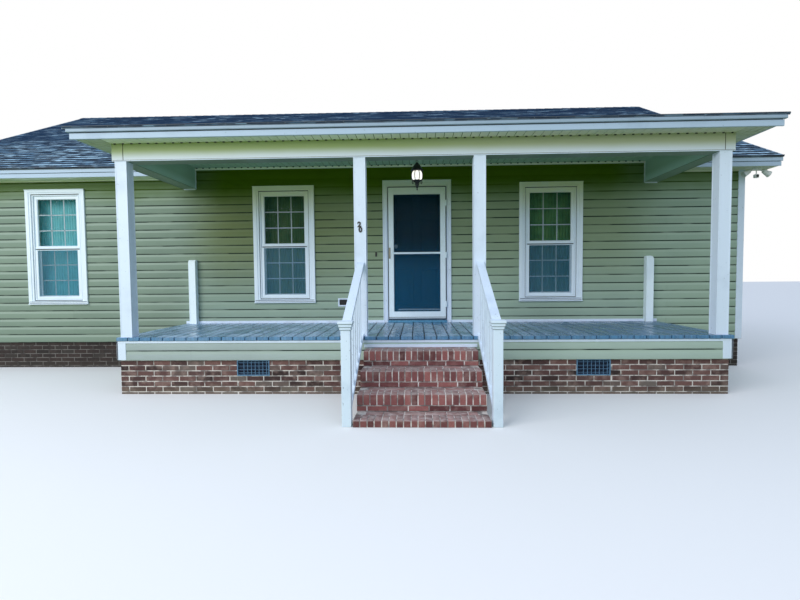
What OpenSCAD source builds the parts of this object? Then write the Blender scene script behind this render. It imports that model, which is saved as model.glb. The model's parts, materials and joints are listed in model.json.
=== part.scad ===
// A single-storey bungalow with a gable roof and a deep front porch.
// Sizes are in millimetres. X runs along the front, Y from the front to the back, Z up.
// The origin is on the ground at the middle of the outline. The steps reach towards -Y.

/* [House] */
// Length of the house along the front, over the walls
house_w = 12800; // [12000:50:14000]
// Depth of the house from the front wall to the back wall
house_d = 8530; // [7000:10:10000]
// Thickness of the outside walls
wall_t = 150; // [120:5:200]
// Height of the brick foundation above the lowest ground
brick_h = 420; // [380:5:460]
// Height of the finished floor above the lowest ground
floor_h = 725; // [715:5:760]
// Height from the floor to the ceiling
room_h = 2438; // [2400:1:2600]

/* [Main roof] */
// Rise of the main roof for each unit of run
roof_pitch = 0.5; // [0.4:0.01:0.6]
// Height of the top of the roof at the eaves
eave_h = 3121; // [3110:1:3140]
// How far the roof reaches past the front and back walls
eave_over = 330; // [300:5:400]
// How far the roof reaches past the end walls
rake_over = 365; // [300:5:450]
// Vertical thickness of the roof sheet with its shingles
roof_t = 34; // [28:1:45]

/* [Porch] */
// Place of the porch and door centre, to the right of the house centre
porch_x = 1465; // [1300:5:1500]
// Depth of the porch from the wall to the column fronts
porch_d = 1800; // [1700:5:1900]
// Height of the porch deck above the lowest ground
deck_h = 700; // [680:5:715]
// Half of the deck's length
deck_half = 3676; // [3600:1:3800]
// Width of a square porch column
column_w = 142; // [130:1:160]
// Distance from the porch centre to the middle of an outer column
outer_column = 3550; // [3500:5:3600]
// Distance from the middle of the gateway to the middle of an inner column
inner_column = 708; // [700:1:760]
// How far the gateway and its steps stand to the right of the door's centre
gate_x = 30; // [0:1:50]
// Height of the underside of the porch beams above the deck
beam_clear = 2120; // [2050:5:2160]
// Thickness of the porch beams
beam_t = 185; // [150:5:200]
// Rise of the porch roof for each unit of run
porch_pitch = 0.25; // [0.2:0.01:0.3]
// Height of the top of the porch roof at its front edge
porch_eave_h = 3162; // [3150:1:3170]

/* [Steps] */
// Height of one brick step
riser = 169; // [160:1:175]
// Depth of one brick step
run = 322; // [290:1:330]
// Drop from the deck to the top brick step
top_drop = 130; // [125:1:150]
// Width of the flight
flight_w = 1300; // [1200:2:1300]
// Width of a square newel post
newel_w = 90; // [85:1:100]
// Height of the newel posts above the lowest ground
newel_h = 997; // [980:1:1040]

/* [Doors and windows] */
// Width of the entry door leaf
door_w = 900; // [860:2:900]
// Height of both door leaves
door_h = 2060; // [2030:1:2070]
// How far the storm door stands open, in degrees
storm_open = 0; // [0:1:100]
// How far the entry door stands open, in degrees
entry_open = 0; // [0:1:95]
// Width of a window over its casing
window_w = 965; // [900:5:1000]
// Height of a window over its casing
window_h = 1824; // [1700:2:1850]
// Height of the window casings' lower edge above the deck
window_sill = 320; // [300:5:340]

/* [Hidden] */
$fn = 48;

siding = [0.49, 0.57, 0.46];
trim = [0.92, 0.93, 0.93];
brick = [0.45, 0.24, 0.20];
shingle = [0.22, 0.25, 0.29];
deck_paint = [0.38, 0.45, 0.52];
dark_metal = [0.10, 0.10, 0.10];
door_paint = [0.10, 0.12, 0.13];
pane = [0.35, 0.45, 0.48, 0.5];

half_w = house_w / 2;
half_roof = half_w + rake_over;
soffit_h = 2980;
fascia_low = 2972;
fascia_t = 20;
sheet_t = 12;
rake_t = 128;
ridge_y = house_d / 2;

nosing = 30;
porch_soffit_h = 3029;
porch_fascia_low = 3020;
porch_crown_low = 3094;
porch_over = 270;
porch_edge = porch_d + porch_over;
porch_fascia = porch_d + 220;
porch_half_roof = 4060;
porch_half_soffit = 3960;
beam_half = outer_column + 104;
beam_low = deck_h + beam_clear;
porch_ceiling_h = 3141;
flight_half = flight_w / 2;

// The front wall's outer face, placed so that the outline is centred on Y
newel_y = -(porch_d + 4 * run - 54);
cap_out = 25;
front_reach = newel_w / 2 + cap_out - newel_y;
back_reach = house_d + eave_over;
wall_y = (front_reach - back_reach) / 2;

door_base = 741;
door_head_h = door_base + door_h;
jamb_t = 20;
opening_half = 457 + jamb_t;
casing_w = 73;
casing_out = 45;
storm_t = 38;
storm_w = 900;
storm_stile = 85;
// Heights of the storm door's two lights, each from its lower to its upper edge
light_z = [door_base + 125, door_base + 1028, door_base + 1048, door_head_h - 115];
storm_pin = [453, -51];
entry_t = 44;
entry_pin = [459, wall_t + 7];
knuckle_d = 12;
knuckle_h = 90;
hinge_heights = [door_base + 200, door_base + 960, door_head_h - 300];

// Just past the storm door's swing
lantern_y = -950;

// Widths of the casing round a window's opening: at its sides, its foot and its head
window_side = 90;
window_foot = 60;
window_head = 75;
window_opening_w = window_w - 2 * window_side;
window_opening_h = window_h - window_foot - window_head;
front_window_x = [-4277, -616, 3521];
back_window_x = [-4300, 0, 4300];
side_window_y = house_d / 2;

vent_w = 400;
vent_h = 195;
vent_top = 417;
porch_vents = [-2000, 2076];
back_vents = [-3200, 3200];

newel_x = flight_half + 13 + newel_w / 2;

// The step rails: height at the column above the deck, drop to the newel, and sizes
rail_high = 885;
rail_drop = 600;
rail_deep = 895;
top_rail_t = 40;
low_rail_t = 45;
rail_bars = 6;
bar_w = 36;
step_top = deck_h - top_drop;

// Height of the main roof's top at a distance y behind the front wall's face
function roof_top(y) = eave_h + roof_pitch * (min(y, house_d - y) + eave_over);
function roof_under(y) = roof_top(y) - roof_t;
function porch_top(y) = porch_eave_h + porch_pitch * (y + porch_edge);
function porch_under(y) = porch_top(y) - 28;

// Where the porch roof's top and its underside meet the main roof
meet_rise = porch_eave_h - eave_h + porch_pitch * porch_edge - roof_pitch * eave_over;
meet_top = meet_rise / (roof_pitch - porch_pitch);
meet_under = (meet_rise - 28) / (roof_pitch - porch_pitch);

// Puts the front wall's outer face in its place
module at_wall(x = 0) {
    translate([x, wall_y, 0]) children();
}

// A box between two corners
module block(x0, x1, y0, y1, z0, z1) {
    translate([x0, y0, z0]) cube([x1 - x0, y1 - y0, z1 - z0]);
}

// A profile drawn in Y and Z, drawn out along X from x0 to x1
module along_x(x0, x1) {
    translate([x0, 0, 0]) rotate([90, 0, 90]) linear_extrude(x1 - x0) children();
}

// One child on each side of the porch centre
module both_sides() {
    children();
    mirror([1, 0, 0]) children();
}

// The block that a window takes out of a front or back wall, or with turned, an end wall
module window_hole(x, y) {
    low = deck_h + window_sill + window_foot;
    translate([x - window_opening_w / 2, y - 400, low])
        cube([window_opening_w, 800, window_opening_h]);
}

module front_foundation() {
    color(brick) at_wall() block(-half_w + 12, half_w - 12, 12, 212, 0, brick_h);
}

module back_foundation() {
    color(brick) at_wall() difference() {
        block(-half_w + 12, half_w - 12, house_d - 212, house_d - 12, 0, brick_h);
        for (x = back_vents)
            block(x - vent_w / 2, x + vent_w / 2, house_d - 300, house_d,
                vent_top - vent_h, vent_top);
    }
}

module side_foundations() {
    color(brick) at_wall() both_sides()
        block(half_w - 212, half_w - 12, 212, house_d - 212, 0, brick_h);
}

module porch_foundation() {
    color(brick) at_wall(porch_x) difference() {
        block(-3640, 3640, -porch_d + 10, 12, 0, brick_h);
        block(-3440, 3440, -porch_d + 210, 13, -1, brick_h + 1);
        for (x = porch_vents)
            block(x - vent_w / 2, x + vent_w / 2, -porch_d, -porch_d + 300,
                vent_top - vent_h, vent_top);
    }
}

// A louvred vent that fills its hole in the brickwork
module vent(x, y) {
    low = vent_top - vent_h;
    difference() {
        block(x - vent_w / 2, x + vent_w / 2, y, y + 60, low, vent_top);
        block(x - vent_w / 2 + 14, x + vent_w / 2 - 14, y - 1, y + 40, low + 14, vent_top - 14);
    }
    for (k = [1:3])
        block(x - vent_w / 2 + 14, x + vent_w / 2 - 14, y + 6, y + 40,
            low + k * vent_h / 4 - 4, low + k * vent_h / 4 + 4);
}

module crawl_vents() {
    color("gray") {
        at_wall(porch_x) for (x = porch_vents) vent(x, -porch_d + 10);
        at_wall() translate([0, house_d, 0]) mirror([0, 1, 0]) for (x = back_vents) vent(x, 12);
    }
}

module floor() {
    color("tan") at_wall()
        block(-half_w + wall_t, half_w - wall_t, wall_t, house_d - wall_t, brick_h, floor_h);
}

// A length of the front wall, its top cut to the slope of the roof
module front_wall(x0, x1) {
    at_wall() along_x(x0, x1)
        polygon([[0, brick_h], [wall_t, brick_h], [wall_t, roof_under(wall_t)],
            [0, roof_under(0)]]);
}

module front_wall_left() {
    color(siding) difference() {
        front_wall(-half_w, porch_x - opening_half);
        at_wall() for (x = [front_window_x[0], front_window_x[1]]) window_hole(x, 0);
    }
}

module front_wall_right() {
    color(siding) difference() {
        front_wall(porch_x + opening_half, half_w);
        at_wall() window_hole(front_window_x[2], 0);
    }
}

module wall_over_door() {
    color(siding) difference() {
        front_wall(porch_x - opening_half, porch_x + opening_half);
        at_wall() block(porch_x - opening_half - 1, porch_x + opening_half + 1, -1, wall_t + 1,
            brick_h - 1, door_head_h + 5 + jamb_t);
    }
}

module back_wall() {
    color(siding) difference() {
        at_wall() translate([0, house_d, 0]) mirror([0, 1, 0]) translate([0, -wall_y, 0])
            front_wall(-half_w, half_w);
        at_wall() for (x = back_window_x) window_hole(x, house_d);
    }
}

// An end wall with its gable, set between the front wall and the back wall
module end_wall() {
    difference() {
        at_wall() along_x(half_w - wall_t, half_w)
            polygon([[wall_t, brick_h], [house_d - wall_t, brick_h],
                [house_d - wall_t, roof_under(wall_t)], [ridge_y, roof_under(ridge_y)],
                [wall_t, roof_under(wall_t)]]);
        at_wall(half_w) translate([0, side_window_y, 0]) rotate([0, 0, 90]) window_hole(0, 0);
    }
}

module left_wall() {
    color(siding) mirror([1, 0, 0]) end_wall();
}

module right_wall() {
    color(siding) end_wall();
}

// A board of two faces that covers one corner of the walls
module corner_board() {
    block(half_w - 75, half_w + 20, -20, 0, brick_h + 5, soffit_h);
    block(half_w, half_w + 20, 0, 75, brick_h + 5, roof_under(0) - rake_t);
}

module corner_boards() {
    color(trim) at_wall() both_sides() {
        corner_board();
        translate([0, house_d, 0]) mirror([0, 1, 0]) corner_board();
    }
}

// One sash: a frame of four bars around its glass, centred on x = 0
module sash(y, z0, z1) {
    w = window_opening_w - 50;
    difference() {
        block(-w / 2, w / 2, y, y + 35, z0, z1);
        block(-w / 2 + 55, w / 2 - 55, y - 1, y + 36, z0 + 50, z1 - 50);
    }
}

// A double-hung window with its casing. Its outside faces -Y at y = 0.
module window_unit() {
    low = deck_h + window_sill;
    in_low = low + window_foot;
    in_high = low + window_h - window_head;
    mid = (in_low + in_high) / 2;
    half = window_opening_w / 2;
    difference() {
        union() {
            block(-window_w / 2, window_w / 2, -34, 0, low, low + window_h);
            block(-half, half, -34, 100, in_low, in_high);
        }
        block(-half + 25, half - 25, -50, 101, in_low + 25, in_high - 25);
    }
    sash(8, mid - 25, in_high - 25);
    sash(43, in_low + 25, mid + 25);
}

// The two panes of a window, each held in its sash
module window_panes() {
    low = deck_h + window_sill + window_foot;
    mid = low + window_opening_h / 2;
    half = (window_opening_w - 50) / 2 - 55;
    block(-half, half, 23, 29, mid + 25, low + window_opening_h - 75);
    block(-half, half, 58, 64, low + 75, mid - 25);
}

module at_front_windows() {
    at_wall() for (x = front_window_x) translate([x, 0, 0]) children();
}

module at_back_windows() {
    at_wall() for (x = back_window_x) translate([x, house_d, 0]) rotate([0, 0, 180]) children();
}

module at_side_windows() {
    at_wall() both_sides() translate([half_w, side_window_y, 0]) rotate([0, 0, 90]) children();
}

module front_windows() {
    color(trim) at_front_windows() window_unit();
}

module back_windows() {
    color(trim) at_back_windows() window_unit();
}

module side_windows() {
    color(trim) at_side_windows() window_unit();
}

module window_glass() {
    color(pane) {
        at_front_windows() window_panes();
        at_back_windows() window_panes();
        at_side_windows() window_panes();
    }
}

// Each jamb lines the side of the doorway, and its casing lies on the wall's face
module door_jambs() {
    color(trim) at_wall(porch_x) both_sides() {
        block(457, opening_half, -casing_out, wall_t, deck_h, door_head_h + 5);
        block(opening_half, 457 + casing_w, -casing_out, 0, deck_h, door_head_h + 5);
    }
}

module door_head() {
    top = door_head_h + 5;
    color(trim) at_wall(porch_x) {
        block(-opening_half, opening_half, -casing_out, wall_t, top, top + jamb_t);
        block(-457 - casing_w, 457 + casing_w, -casing_out, 0, top + jamb_t, top + 100);
        block(-457 - casing_w, -opening_half, -casing_out, 0, top, top + jamb_t);
        block(opening_half, 457 + casing_w, -casing_out, 0, top, top + jamb_t);
    }
}

// The framing under the doorway, with the sill that both doors close over
module door_sill() {
    color("silver") at_wall(porch_x) {
        block(-opening_half, opening_half, 0, wall_t, brick_h, deck_h);
        block(-457, 457, -casing_out, wall_t, deck_h, door_base - 6);
    }
}

// Turns what hangs on a pin that stands upright at a place beside the door
module hung(pin, turn) {
    at_wall(porch_x) translate([pin[0], pin[1], 0]) rotate([0, 0, turn])
        translate([-pin[0], -pin[1], 0]) children();
}

// The barrels of a door's three hinges, round its pin
module knuckles(pin) {
    for (z = hinge_heights) translate([pin[0], pin[1], z]) cylinder(d = knuckle_d, h = knuckle_h);
}

// The face of the storm door's leaf is flush with the casing
module storm_door() {
    half = storm_w / 2;
    y0 = -casing_out;
    y1 = y0 + storm_t;
    inner = half - storm_stile;
    color(trim) hung(storm_pin, storm_open) {
        difference() {
            block(-half, half - 2, y0, y1, door_base, door_head_h);
            block(-inner, inner, y0 - 1, y1 + 1, light_z[0], light_z[1]);
            block(-inner, inner, y0 - 1, y1 + 1, light_z[2], light_z[3]);
        }
        knuckles(storm_pin);
        for (z = hinge_heights) block(half - 36, storm_pin[0], storm_pin[1], y0, z, z + knuckle_h);
    }
}

module storm_door_glass() {
    half = storm_w / 2 - storm_stile;
    y0 = -casing_out + 16;
    color(pane) hung(storm_pin, storm_open) {
        block(-half, half, y0, y0 + 6, light_z[0], light_z[1]);
        block(-half, half, y0, y0 + 6, light_z[2], light_z[3]);
    }
}

// A pull handle with its plate, near the left edge of the storm door
module storm_door_handle() {
    x = -storm_w / 2 + 25;
    z = door_base + 1040;
    color("goldenrod") hung(storm_pin, storm_open) translate([x, -casing_out, z]) {
        block(-14, 14, -6, 0, -85, 85);
        for (k = [-60, 50])
            translate([0, 0, k]) block(-6, 6, -42, -6, 0, 10);
        block(-6, 6, -54, -42, -60, 60);
    }
}

module entry_door() {
    color(door_paint) hung(entry_pin, -entry_open) {
        block(-door_w / 2, door_w / 2, wall_t - entry_t, wall_t, door_base, door_head_h);
        knuckles(entry_pin);
        for (z = hinge_heights)
            block(door_w / 2 - 36, entry_pin[0] - 4, wall_t, entry_pin[1], z, z + knuckle_h);
    }
}

// A round knob on each face of the entry door, with its rose and spindle
module entry_door_knob() {
    color("silver") hung(entry_pin, -entry_open)
        translate([-door_w / 2 + 115, wall_t - entry_t / 2, door_base + 1150]) {
            for (side = [-1, 1])
                rotate([90 * side, 0, 0]) rotate_extrude()
                    polygon([[0, entry_t / 2], [32, entry_t / 2], [32, entry_t / 2 + 6],
                        [12, entry_t / 2 + 10], [12, entry_t / 2 + 20], [25, entry_t / 2 + 26],
                        [28, entry_t / 2 + 36], [20, entry_t / 2 + 46], [0, entry_t / 2 + 48]]);
        }
}

module ceiling() {
    low = floor_h + room_h;
    color("white") at_wall()
        block(-half_w + wall_t, half_w - wall_t, wall_t, house_d - wall_t, low, low + 90);
}

// One slope of the main roof, from y0 behind the front wall to the ridge
module roof_slope(y0) {
    at_wall() along_x(-half_roof, half_roof)
        polygon([[y0, roof_under(y0)], [ridge_y, roof_under(ridge_y)],
            [ridge_y, roof_top(ridge_y)], [y0, roof_top(y0)]]);
}

// The eave is cut away where the porch ceiling runs in under the porch roof
module roof_front() {
    color(shingle) difference() {
        roof_slope(-eave_over);
        at_wall(porch_x) block(-beam_half, beam_half, -eave_over - 10, 0, 3000, 3500);
    }
}

module roof_back() {
    color(shingle) at_wall() translate([0, house_d, 0]) mirror([0, 1, 0])
        translate([0, -wall_y, 0]) roof_slope(-eave_over);
}

// Level soffit and upright fascia under an eave, from x0 to x1
module eave(x0, x1) {
    out = eave_over - 30;
    along_x(x0, x1)
        polygon([[-out, fascia_low], [-out + fascia_t, fascia_low], [-out + fascia_t, soffit_h],
            [0, soffit_h], [0, soffit_h + sheet_t], [-out + fascia_t, soffit_h + sheet_t],
            [-out + fascia_t, roof_under(-out)], [-out, roof_under(-out)]]);
}

module front_eaves() {
    color(trim) at_wall() {
        eave(-half_roof + 20, porch_x - beam_half);
        eave(porch_x + beam_half, half_roof - 20);
    }
}

module back_eave() {
    color(trim) at_wall() translate([0, house_d, 0]) mirror([0, 1, 0])
        eave(-half_roof + 20, half_roof - 20);
}

// The boxed overhang under each sloping end of the roof, with a level return at each eave
module rakes() {
    out = eave_over - 50;
    low = soffit_h + sheet_t;
    color(trim) at_wall() both_sides() along_x(half_w + 20, half_roof - 20)
        polygon([[-out, roof_under(-out)], [ridge_y, roof_under(ridge_y)],
            [house_d + out, roof_under(-out)], [house_d + out, low], [house_d, low],
            [house_d, roof_under(0) - rake_t], [ridge_y, roof_under(ridge_y) - rake_t],
            [0, roof_under(0) - rake_t], [0, low], [-out, low]]);
}

module porch_deck() {
    color(deck_paint) at_wall(porch_x)
        block(-deck_half, deck_half, -porch_d - nosing, 0, deck_h - 43, deck_h);
}

// The siding-clad rim under the deck's edge
module porch_skirt() {
    color(siding) at_wall(porch_x) difference() {
        block(-3650, 3650, -porch_d, 0, brick_h, deck_h - 43);
        block(-3590, 3590, -porch_d + 60, 1, brick_h - 1, deck_h);
    }
}

module porch_columns() {
    half = column_w / 2;
    color(trim) at_wall(porch_x)
        for (x = [-outer_column, gate_x - inner_column, gate_x + inner_column, outer_column])
            block(x - half, x + half, -porch_d, -porch_d + column_w, deck_h, beam_low);
}

module front_beam() {
    back = -porch_d + beam_t;
    color(trim) at_wall(porch_x) along_x(-beam_half, beam_half)
        polygon([[-porch_d, beam_low], [back, beam_low], [back, porch_under(back)],
            [-porch_d, porch_under(-porch_d)]]);
}

module side_beams() {
    front = -porch_d + beam_t;
    color(trim) at_wall(porch_x) both_sides() along_x(beam_half - beam_t, beam_half)
        polygon([[front, beam_low], [0, beam_low], [0, porch_under(0)],
            [front, porch_under(front)]]);
}

module porch_ceiling() {
    half = beam_half - beam_t;
    color(trim) at_wall(porch_x)
        block(-half, half, -porch_d + beam_t, 0, porch_ceiling_h, porch_ceiling_h + 15);
}

module porch_roof() {
    color(shingle) at_wall(porch_x) along_x(-porch_half_roof, porch_half_roof)
        polygon([[-porch_edge, porch_under(-porch_edge)], [-porch_edge, porch_eave_h],
            [meet_top, porch_top(meet_top)], [meet_under, porch_under(meet_under)]]);
}

// The two-step fascia across the porch with the level soffit behind it
module porch_front_eave() {
    face = -porch_fascia - fascia_t;
    color(trim) at_wall(porch_x) {
        block(-4000, 4000, face, -porch_fascia, porch_fascia_low, porch_crown_low);
        along_x(-4040, 4040)
            polygon([[face - 20, porch_crown_low], [-porch_fascia, porch_crown_low],
                [-porch_fascia, porch_under(-porch_fascia)], [face - 20, porch_under(face - 20)]]);
        block(-porch_half_soffit, porch_half_soffit, -porch_fascia, -porch_d,
            porch_soffit_h, porch_soffit_h + sheet_t);
    }
}

// The level soffit beside each side beam, and the panel that closes the end above it
module porch_side_eaves() {
    color(trim) at_wall(porch_x) both_sides() {
        block(beam_half, porch_half_soffit, -porch_d, -eave_over + 30,
            porch_soffit_h, porch_soffit_h + sheet_t);
        along_x(porch_half_soffit - 20, porch_half_soffit)
            polygon([[-porch_fascia, porch_soffit_h + sheet_t],
                [-eave_over, porch_soffit_h + sheet_t], [-eave_over, eave_h],
                [meet_under, porch_under(meet_under)],
                [-porch_fascia, porch_under(-porch_fascia)]]);
    }
}

// The short posts left standing against the wall where the porch railing ended
module half_posts() {
    color(trim) at_wall(porch_x) both_sides() translate([3529, 0, deck_h]) {
        block(-54, 54, -100, 0, 0, 975);
        along_x(-54, 54) polygon([[-100, 975], [0, 975], [0, 1003], [-72, 1003]]);
    }
}

// A course of the flight: a slab from its own front edge back to the porch
module brick_step(k) {
    top = step_top - (3 - k) * riser;
    low = k == 0 ? 0 : top - riser;
    at_wall(porch_x)
        block(gate_x - flight_half, gate_x + flight_half, -porch_d - (4 - k) * run, -porch_d,
            low, top);
}

module bottom_step() {
    color(brick) brick_step(0);
}

module second_step() {
    color(brick) brick_step(1);
}

module third_step() {
    color(brick) brick_step(2);
}

module top_step() {
    color(brick) brick_step(3);
}

// A square post under a cap of three tiers, the top one the widest
module newel_posts() {
    half = newel_w / 2;
    tier = 28;
    color(trim) at_wall(porch_x + gate_x) both_sides() translate([newel_x, newel_y, 0]) {
        block(-half, half, -half, half, 0, newel_h - 3 * tier);
        for (k = [0:2]) {
            out = half + cap_out * (k + 1) / 3;
            block(-out, out, -out, out, newel_h - (3 - k) * tier, newel_h - (2 - k) * tier);
        }
    }
}

// A sloping rail with its balusters. The top rail ends at the newel's cap, the low one at its post.
// The low rail is notched over the edge of the deck.
module step_rail(side) {
    y0 = -porch_d;
    y1 = newel_y + newel_w / 2;
    y_cap = y1 + cap_out;
    slope = rail_drop / (y0 - y1);
    high = deck_h + rail_high;
    low = high - rail_deep;
    end = high - slope * (y0 - y_cap);
    x = gate_x + side * (newel_x + inner_column) / 2;
    along_x(x - 44, x + 44) polygon([[y0, high], [y0, high - top_rail_t],
        [y_cap, end - top_rail_t], [y_cap, end]]);
    along_x(x - 30, x + 30) polygon([[y0, low + low_rail_t], [y0, deck_h],
        [y0 - nosing, deck_h], [y0 - nosing, low - slope * nosing],
        [y1, low - rail_drop], [y1, low - rail_drop + low_rail_t]]);
    for (k = [1:rail_bars]) {
        y = y0 - (y0 - y1) * k / (rail_bars + 1);
        z = slope * (y0 - y);
        half_z = slope * bar_w / 2;
        along_x(x - bar_w / 2, x + bar_w / 2)
            polygon([[y + bar_w / 2, high - top_rail_t - z + half_z],
                [y - bar_w / 2, high - top_rail_t - z - half_z],
                [y - bar_w / 2, low + low_rail_t - z - half_z],
                [y + bar_w / 2, low + low_rail_t - z + half_z]]);
    }
}

module step_rails() {
    color(trim) at_wall(porch_x) for (side = [-1, 1]) step_rail(side);
}

// A lantern that hangs on a rod from the middle of the porch ceiling
module porch_lantern() {
    color(dark_metal) at_wall(porch_x) translate([5, lantern_y, 0]) rotate_extrude()
        polygon([[0, 3141], [55, 3141], [55, 3130], [8, 3115], [5, 2972], [18, 2960],
            [24, 2935], [46, 2908], [82, 2852], [86, 2844], [80, 2838], [58, 2832],
            [75, 2802], [80, 2770], [75, 2738], [58, 2708], [46, 2696], [28, 2680],
            [30, 2640], [14, 2612], [10, 2590], [0, 2575]]);
}

// Two lamp heads and a sensor that hang from a round plate under the right-hand eave
module security_light() {
    color("gainsboro") at_wall() translate([half_w + 90, -150, soffit_h]) {
        translate([0, 0, -26]) cylinder(d = 112, h = 26);
        for (side = [-1, 1])
            translate([side * 34, 0, -20]) rotate([0, side * 118, 0]) {
                cylinder(d = 18, h = 100);
                translate([0, 0, 70]) cylinder(d1 = 52, d2 = 96, h = 105);
            }
        translate([-10, -10, -100]) cube([20, 20, 90]);
        translate([-30, -30, -150]) cube([60, 60, 55]);
    }
}

// A small framed slot in the wall, left of the door
module mail_slot() {
    color(trim) at_wall(porch_x - 1160) difference() {
        block(-85, 85, -22, 0, deck_h + 255, deck_h + 385);
        block(-62, 62, -23, -6, deck_h + 278, deck_h + 362);
    }
}

front_foundation();
back_foundation();
side_foundations();
porch_foundation();
crawl_vents();
floor();
front_wall_left();
front_wall_right();
wall_over_door();
back_wall();
left_wall();
right_wall();
corner_boards();
front_windows();
back_windows();
side_windows();
window_glass();
door_jambs();
door_head();
door_sill();
storm_door();
storm_door_glass();
storm_door_handle();
entry_door();
entry_door_knob();
ceiling();
roof_front();
roof_back();
front_eaves();
back_eave();
rakes();
porch_deck();
porch_skirt();
porch_columns();
front_beam();
side_beams();
porch_ceiling();
porch_roof();
porch_front_eave();
porch_side_eaves();
half_posts();
bottom_step();
second_step();
third_step();
top_step();
newel_posts();
step_rails();
porch_lantern();
security_light();
mail_slot();
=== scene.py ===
"""The looks of a single-storey bungalow with a deep front porch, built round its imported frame."""

import json
import math
from itertools import product

import bmesh
import bpy
from mathutils import Matrix, Vector

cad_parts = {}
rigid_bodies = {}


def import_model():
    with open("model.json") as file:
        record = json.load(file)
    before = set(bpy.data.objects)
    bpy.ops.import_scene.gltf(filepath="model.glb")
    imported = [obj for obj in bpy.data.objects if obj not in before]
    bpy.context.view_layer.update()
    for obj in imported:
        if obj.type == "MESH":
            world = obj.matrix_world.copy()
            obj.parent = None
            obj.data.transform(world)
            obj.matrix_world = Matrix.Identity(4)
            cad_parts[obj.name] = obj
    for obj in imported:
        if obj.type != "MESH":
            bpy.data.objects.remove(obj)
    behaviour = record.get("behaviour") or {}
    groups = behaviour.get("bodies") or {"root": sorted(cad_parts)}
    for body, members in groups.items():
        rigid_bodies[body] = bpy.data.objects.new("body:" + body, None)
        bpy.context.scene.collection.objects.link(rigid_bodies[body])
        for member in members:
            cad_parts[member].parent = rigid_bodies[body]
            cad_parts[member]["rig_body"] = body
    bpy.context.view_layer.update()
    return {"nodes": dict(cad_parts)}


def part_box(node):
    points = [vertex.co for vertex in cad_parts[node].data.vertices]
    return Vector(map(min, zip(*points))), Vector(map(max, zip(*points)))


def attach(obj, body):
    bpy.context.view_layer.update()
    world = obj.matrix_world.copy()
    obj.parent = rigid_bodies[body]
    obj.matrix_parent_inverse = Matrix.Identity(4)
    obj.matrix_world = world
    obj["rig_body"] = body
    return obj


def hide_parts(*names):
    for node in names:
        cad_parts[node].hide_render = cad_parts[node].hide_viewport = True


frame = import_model()
nodes = frame["nodes"]
scene = bpy.context.scene

# Places and sizes in metres, from the frame where it gives them
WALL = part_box("front_wall_left")[0].y
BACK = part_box("back_wall")[1].y
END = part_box("right_wall")[1].x
DEPTH, MIDDLE = BACK - WALL, (WALL + BACK) / 2
DECK_LOW, DECK_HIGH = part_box("porch_deck")
PORCH = (DECK_LOW.x + DECK_HIGH.x) / 2
DECK = DECK_HIGH.z
BRICK_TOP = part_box("front_foundation")[1].z
GATE = (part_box("top_step")[0].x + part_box("top_step")[1].x) / 2
PORCH_DEPTH = 1.8
PORCH_FRONT = WALL - PORCH_DEPTH
PORCH_FACE = PORCH_FRONT + 0.01
SOFFIT, PORCH_SOFFIT = 2.98, 3.029
EAVE, PORCH_EAVE = 3.121, 3.162
MAIN_PITCH, PORCH_PITCH = 0.5, 0.25
PORCH_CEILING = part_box("porch_ceiling")[0].z
BEAM_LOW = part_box("front_beam")[0].z
BEAM_HALF, BEAM_T = 3.654, 0.185
WINDOWS, BACK_WINDOWS = [-4.277, -0.616, 3.521], [-4.3, 0.0, 4.3]
WINDOW_W, WINDOW_LOW, WINDOW_HIGH = 0.965, 1.02, 2.844
WINDOW_SIDE, WINDOW_FOOT, WINDOW_HEAD = 0.090, 0.060, 0.075
DOOR_HEAD, DOOR_TOP = 2.806, 2.906
STORM_FACE = WALL - 0.045
MAIL_SLOT = PORCH - 1.16
ROD_IN = 0.185
SIDING_COURSE, SIDING_BASE = 0.127, 0.4135
TAB_L, TAB_COURSE = 0.23, 0.141
DECK_BOARD, DECK_ANCHOR = 0.144, 0.015
NEWEL_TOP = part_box("newel_posts")[1].z
RISER, LOW_TREAD = 0.169, 0.0645


# Node trees

def card(red, green, blue):
    """A colour as a paint card gives it, from 0 to 255, for a colour socket."""
    return tuple(((c / 255 + 0.055) / 1.055) ** 2.4 for c in (red, green, blue)) + (1.0,)


def maths(operation, reflected=False):
    """A method that joins a socket and what stands beside it in a Math node."""
    def method(self, *others):
        terms = (*others, self) if reflected else (self, *others)
        return self.tree.node("ShaderNodeMath", {"operation": operation},
                              dict(enumerate(terms)))[0]
    return method


class Socket:
    """One output of a node, on which sums can be written."""

    def __init__(self, tree, output):
        self.tree, self.output = tree, output

    __add__, __radd__ = maths("ADD"), maths("ADD", True)
    __sub__, __rsub__ = maths("SUBTRACT"), maths("SUBTRACT", True)
    __mul__, __rmul__ = maths("MULTIPLY"), maths("MULTIPLY", True)
    __truediv__, __rtruediv__ = maths("DIVIDE"), maths("DIVIDE", True)
    __mod__, __rmod__ = maths("FLOORED_MODULO"), maths("FLOORED_MODULO", True)
    __lt__, __gt__ = maths("LESS_THAN"), maths("GREATER_THAN")
    floor, ceil, size = maths("FLOOR"), maths("CEIL"), maths("ABSOLUTE")
    most, least = maths("MAXIMUM"), maths("MINIMUM")


class Node:
    """A node in a tree. An index or a name gives one of its outputs."""

    def __init__(self, tree, made):
        self.tree, self.made = tree, made

    def __getitem__(self, key):
        return Socket(self.tree, find_socket(self.made.outputs, key))


def find_socket(sockets, key):
    """The socket at a place, or else the one in use with that name."""
    if isinstance(key, int):
        return sockets[key]
    return next(s for s in sockets if s.name == key and s.enabled)


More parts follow.
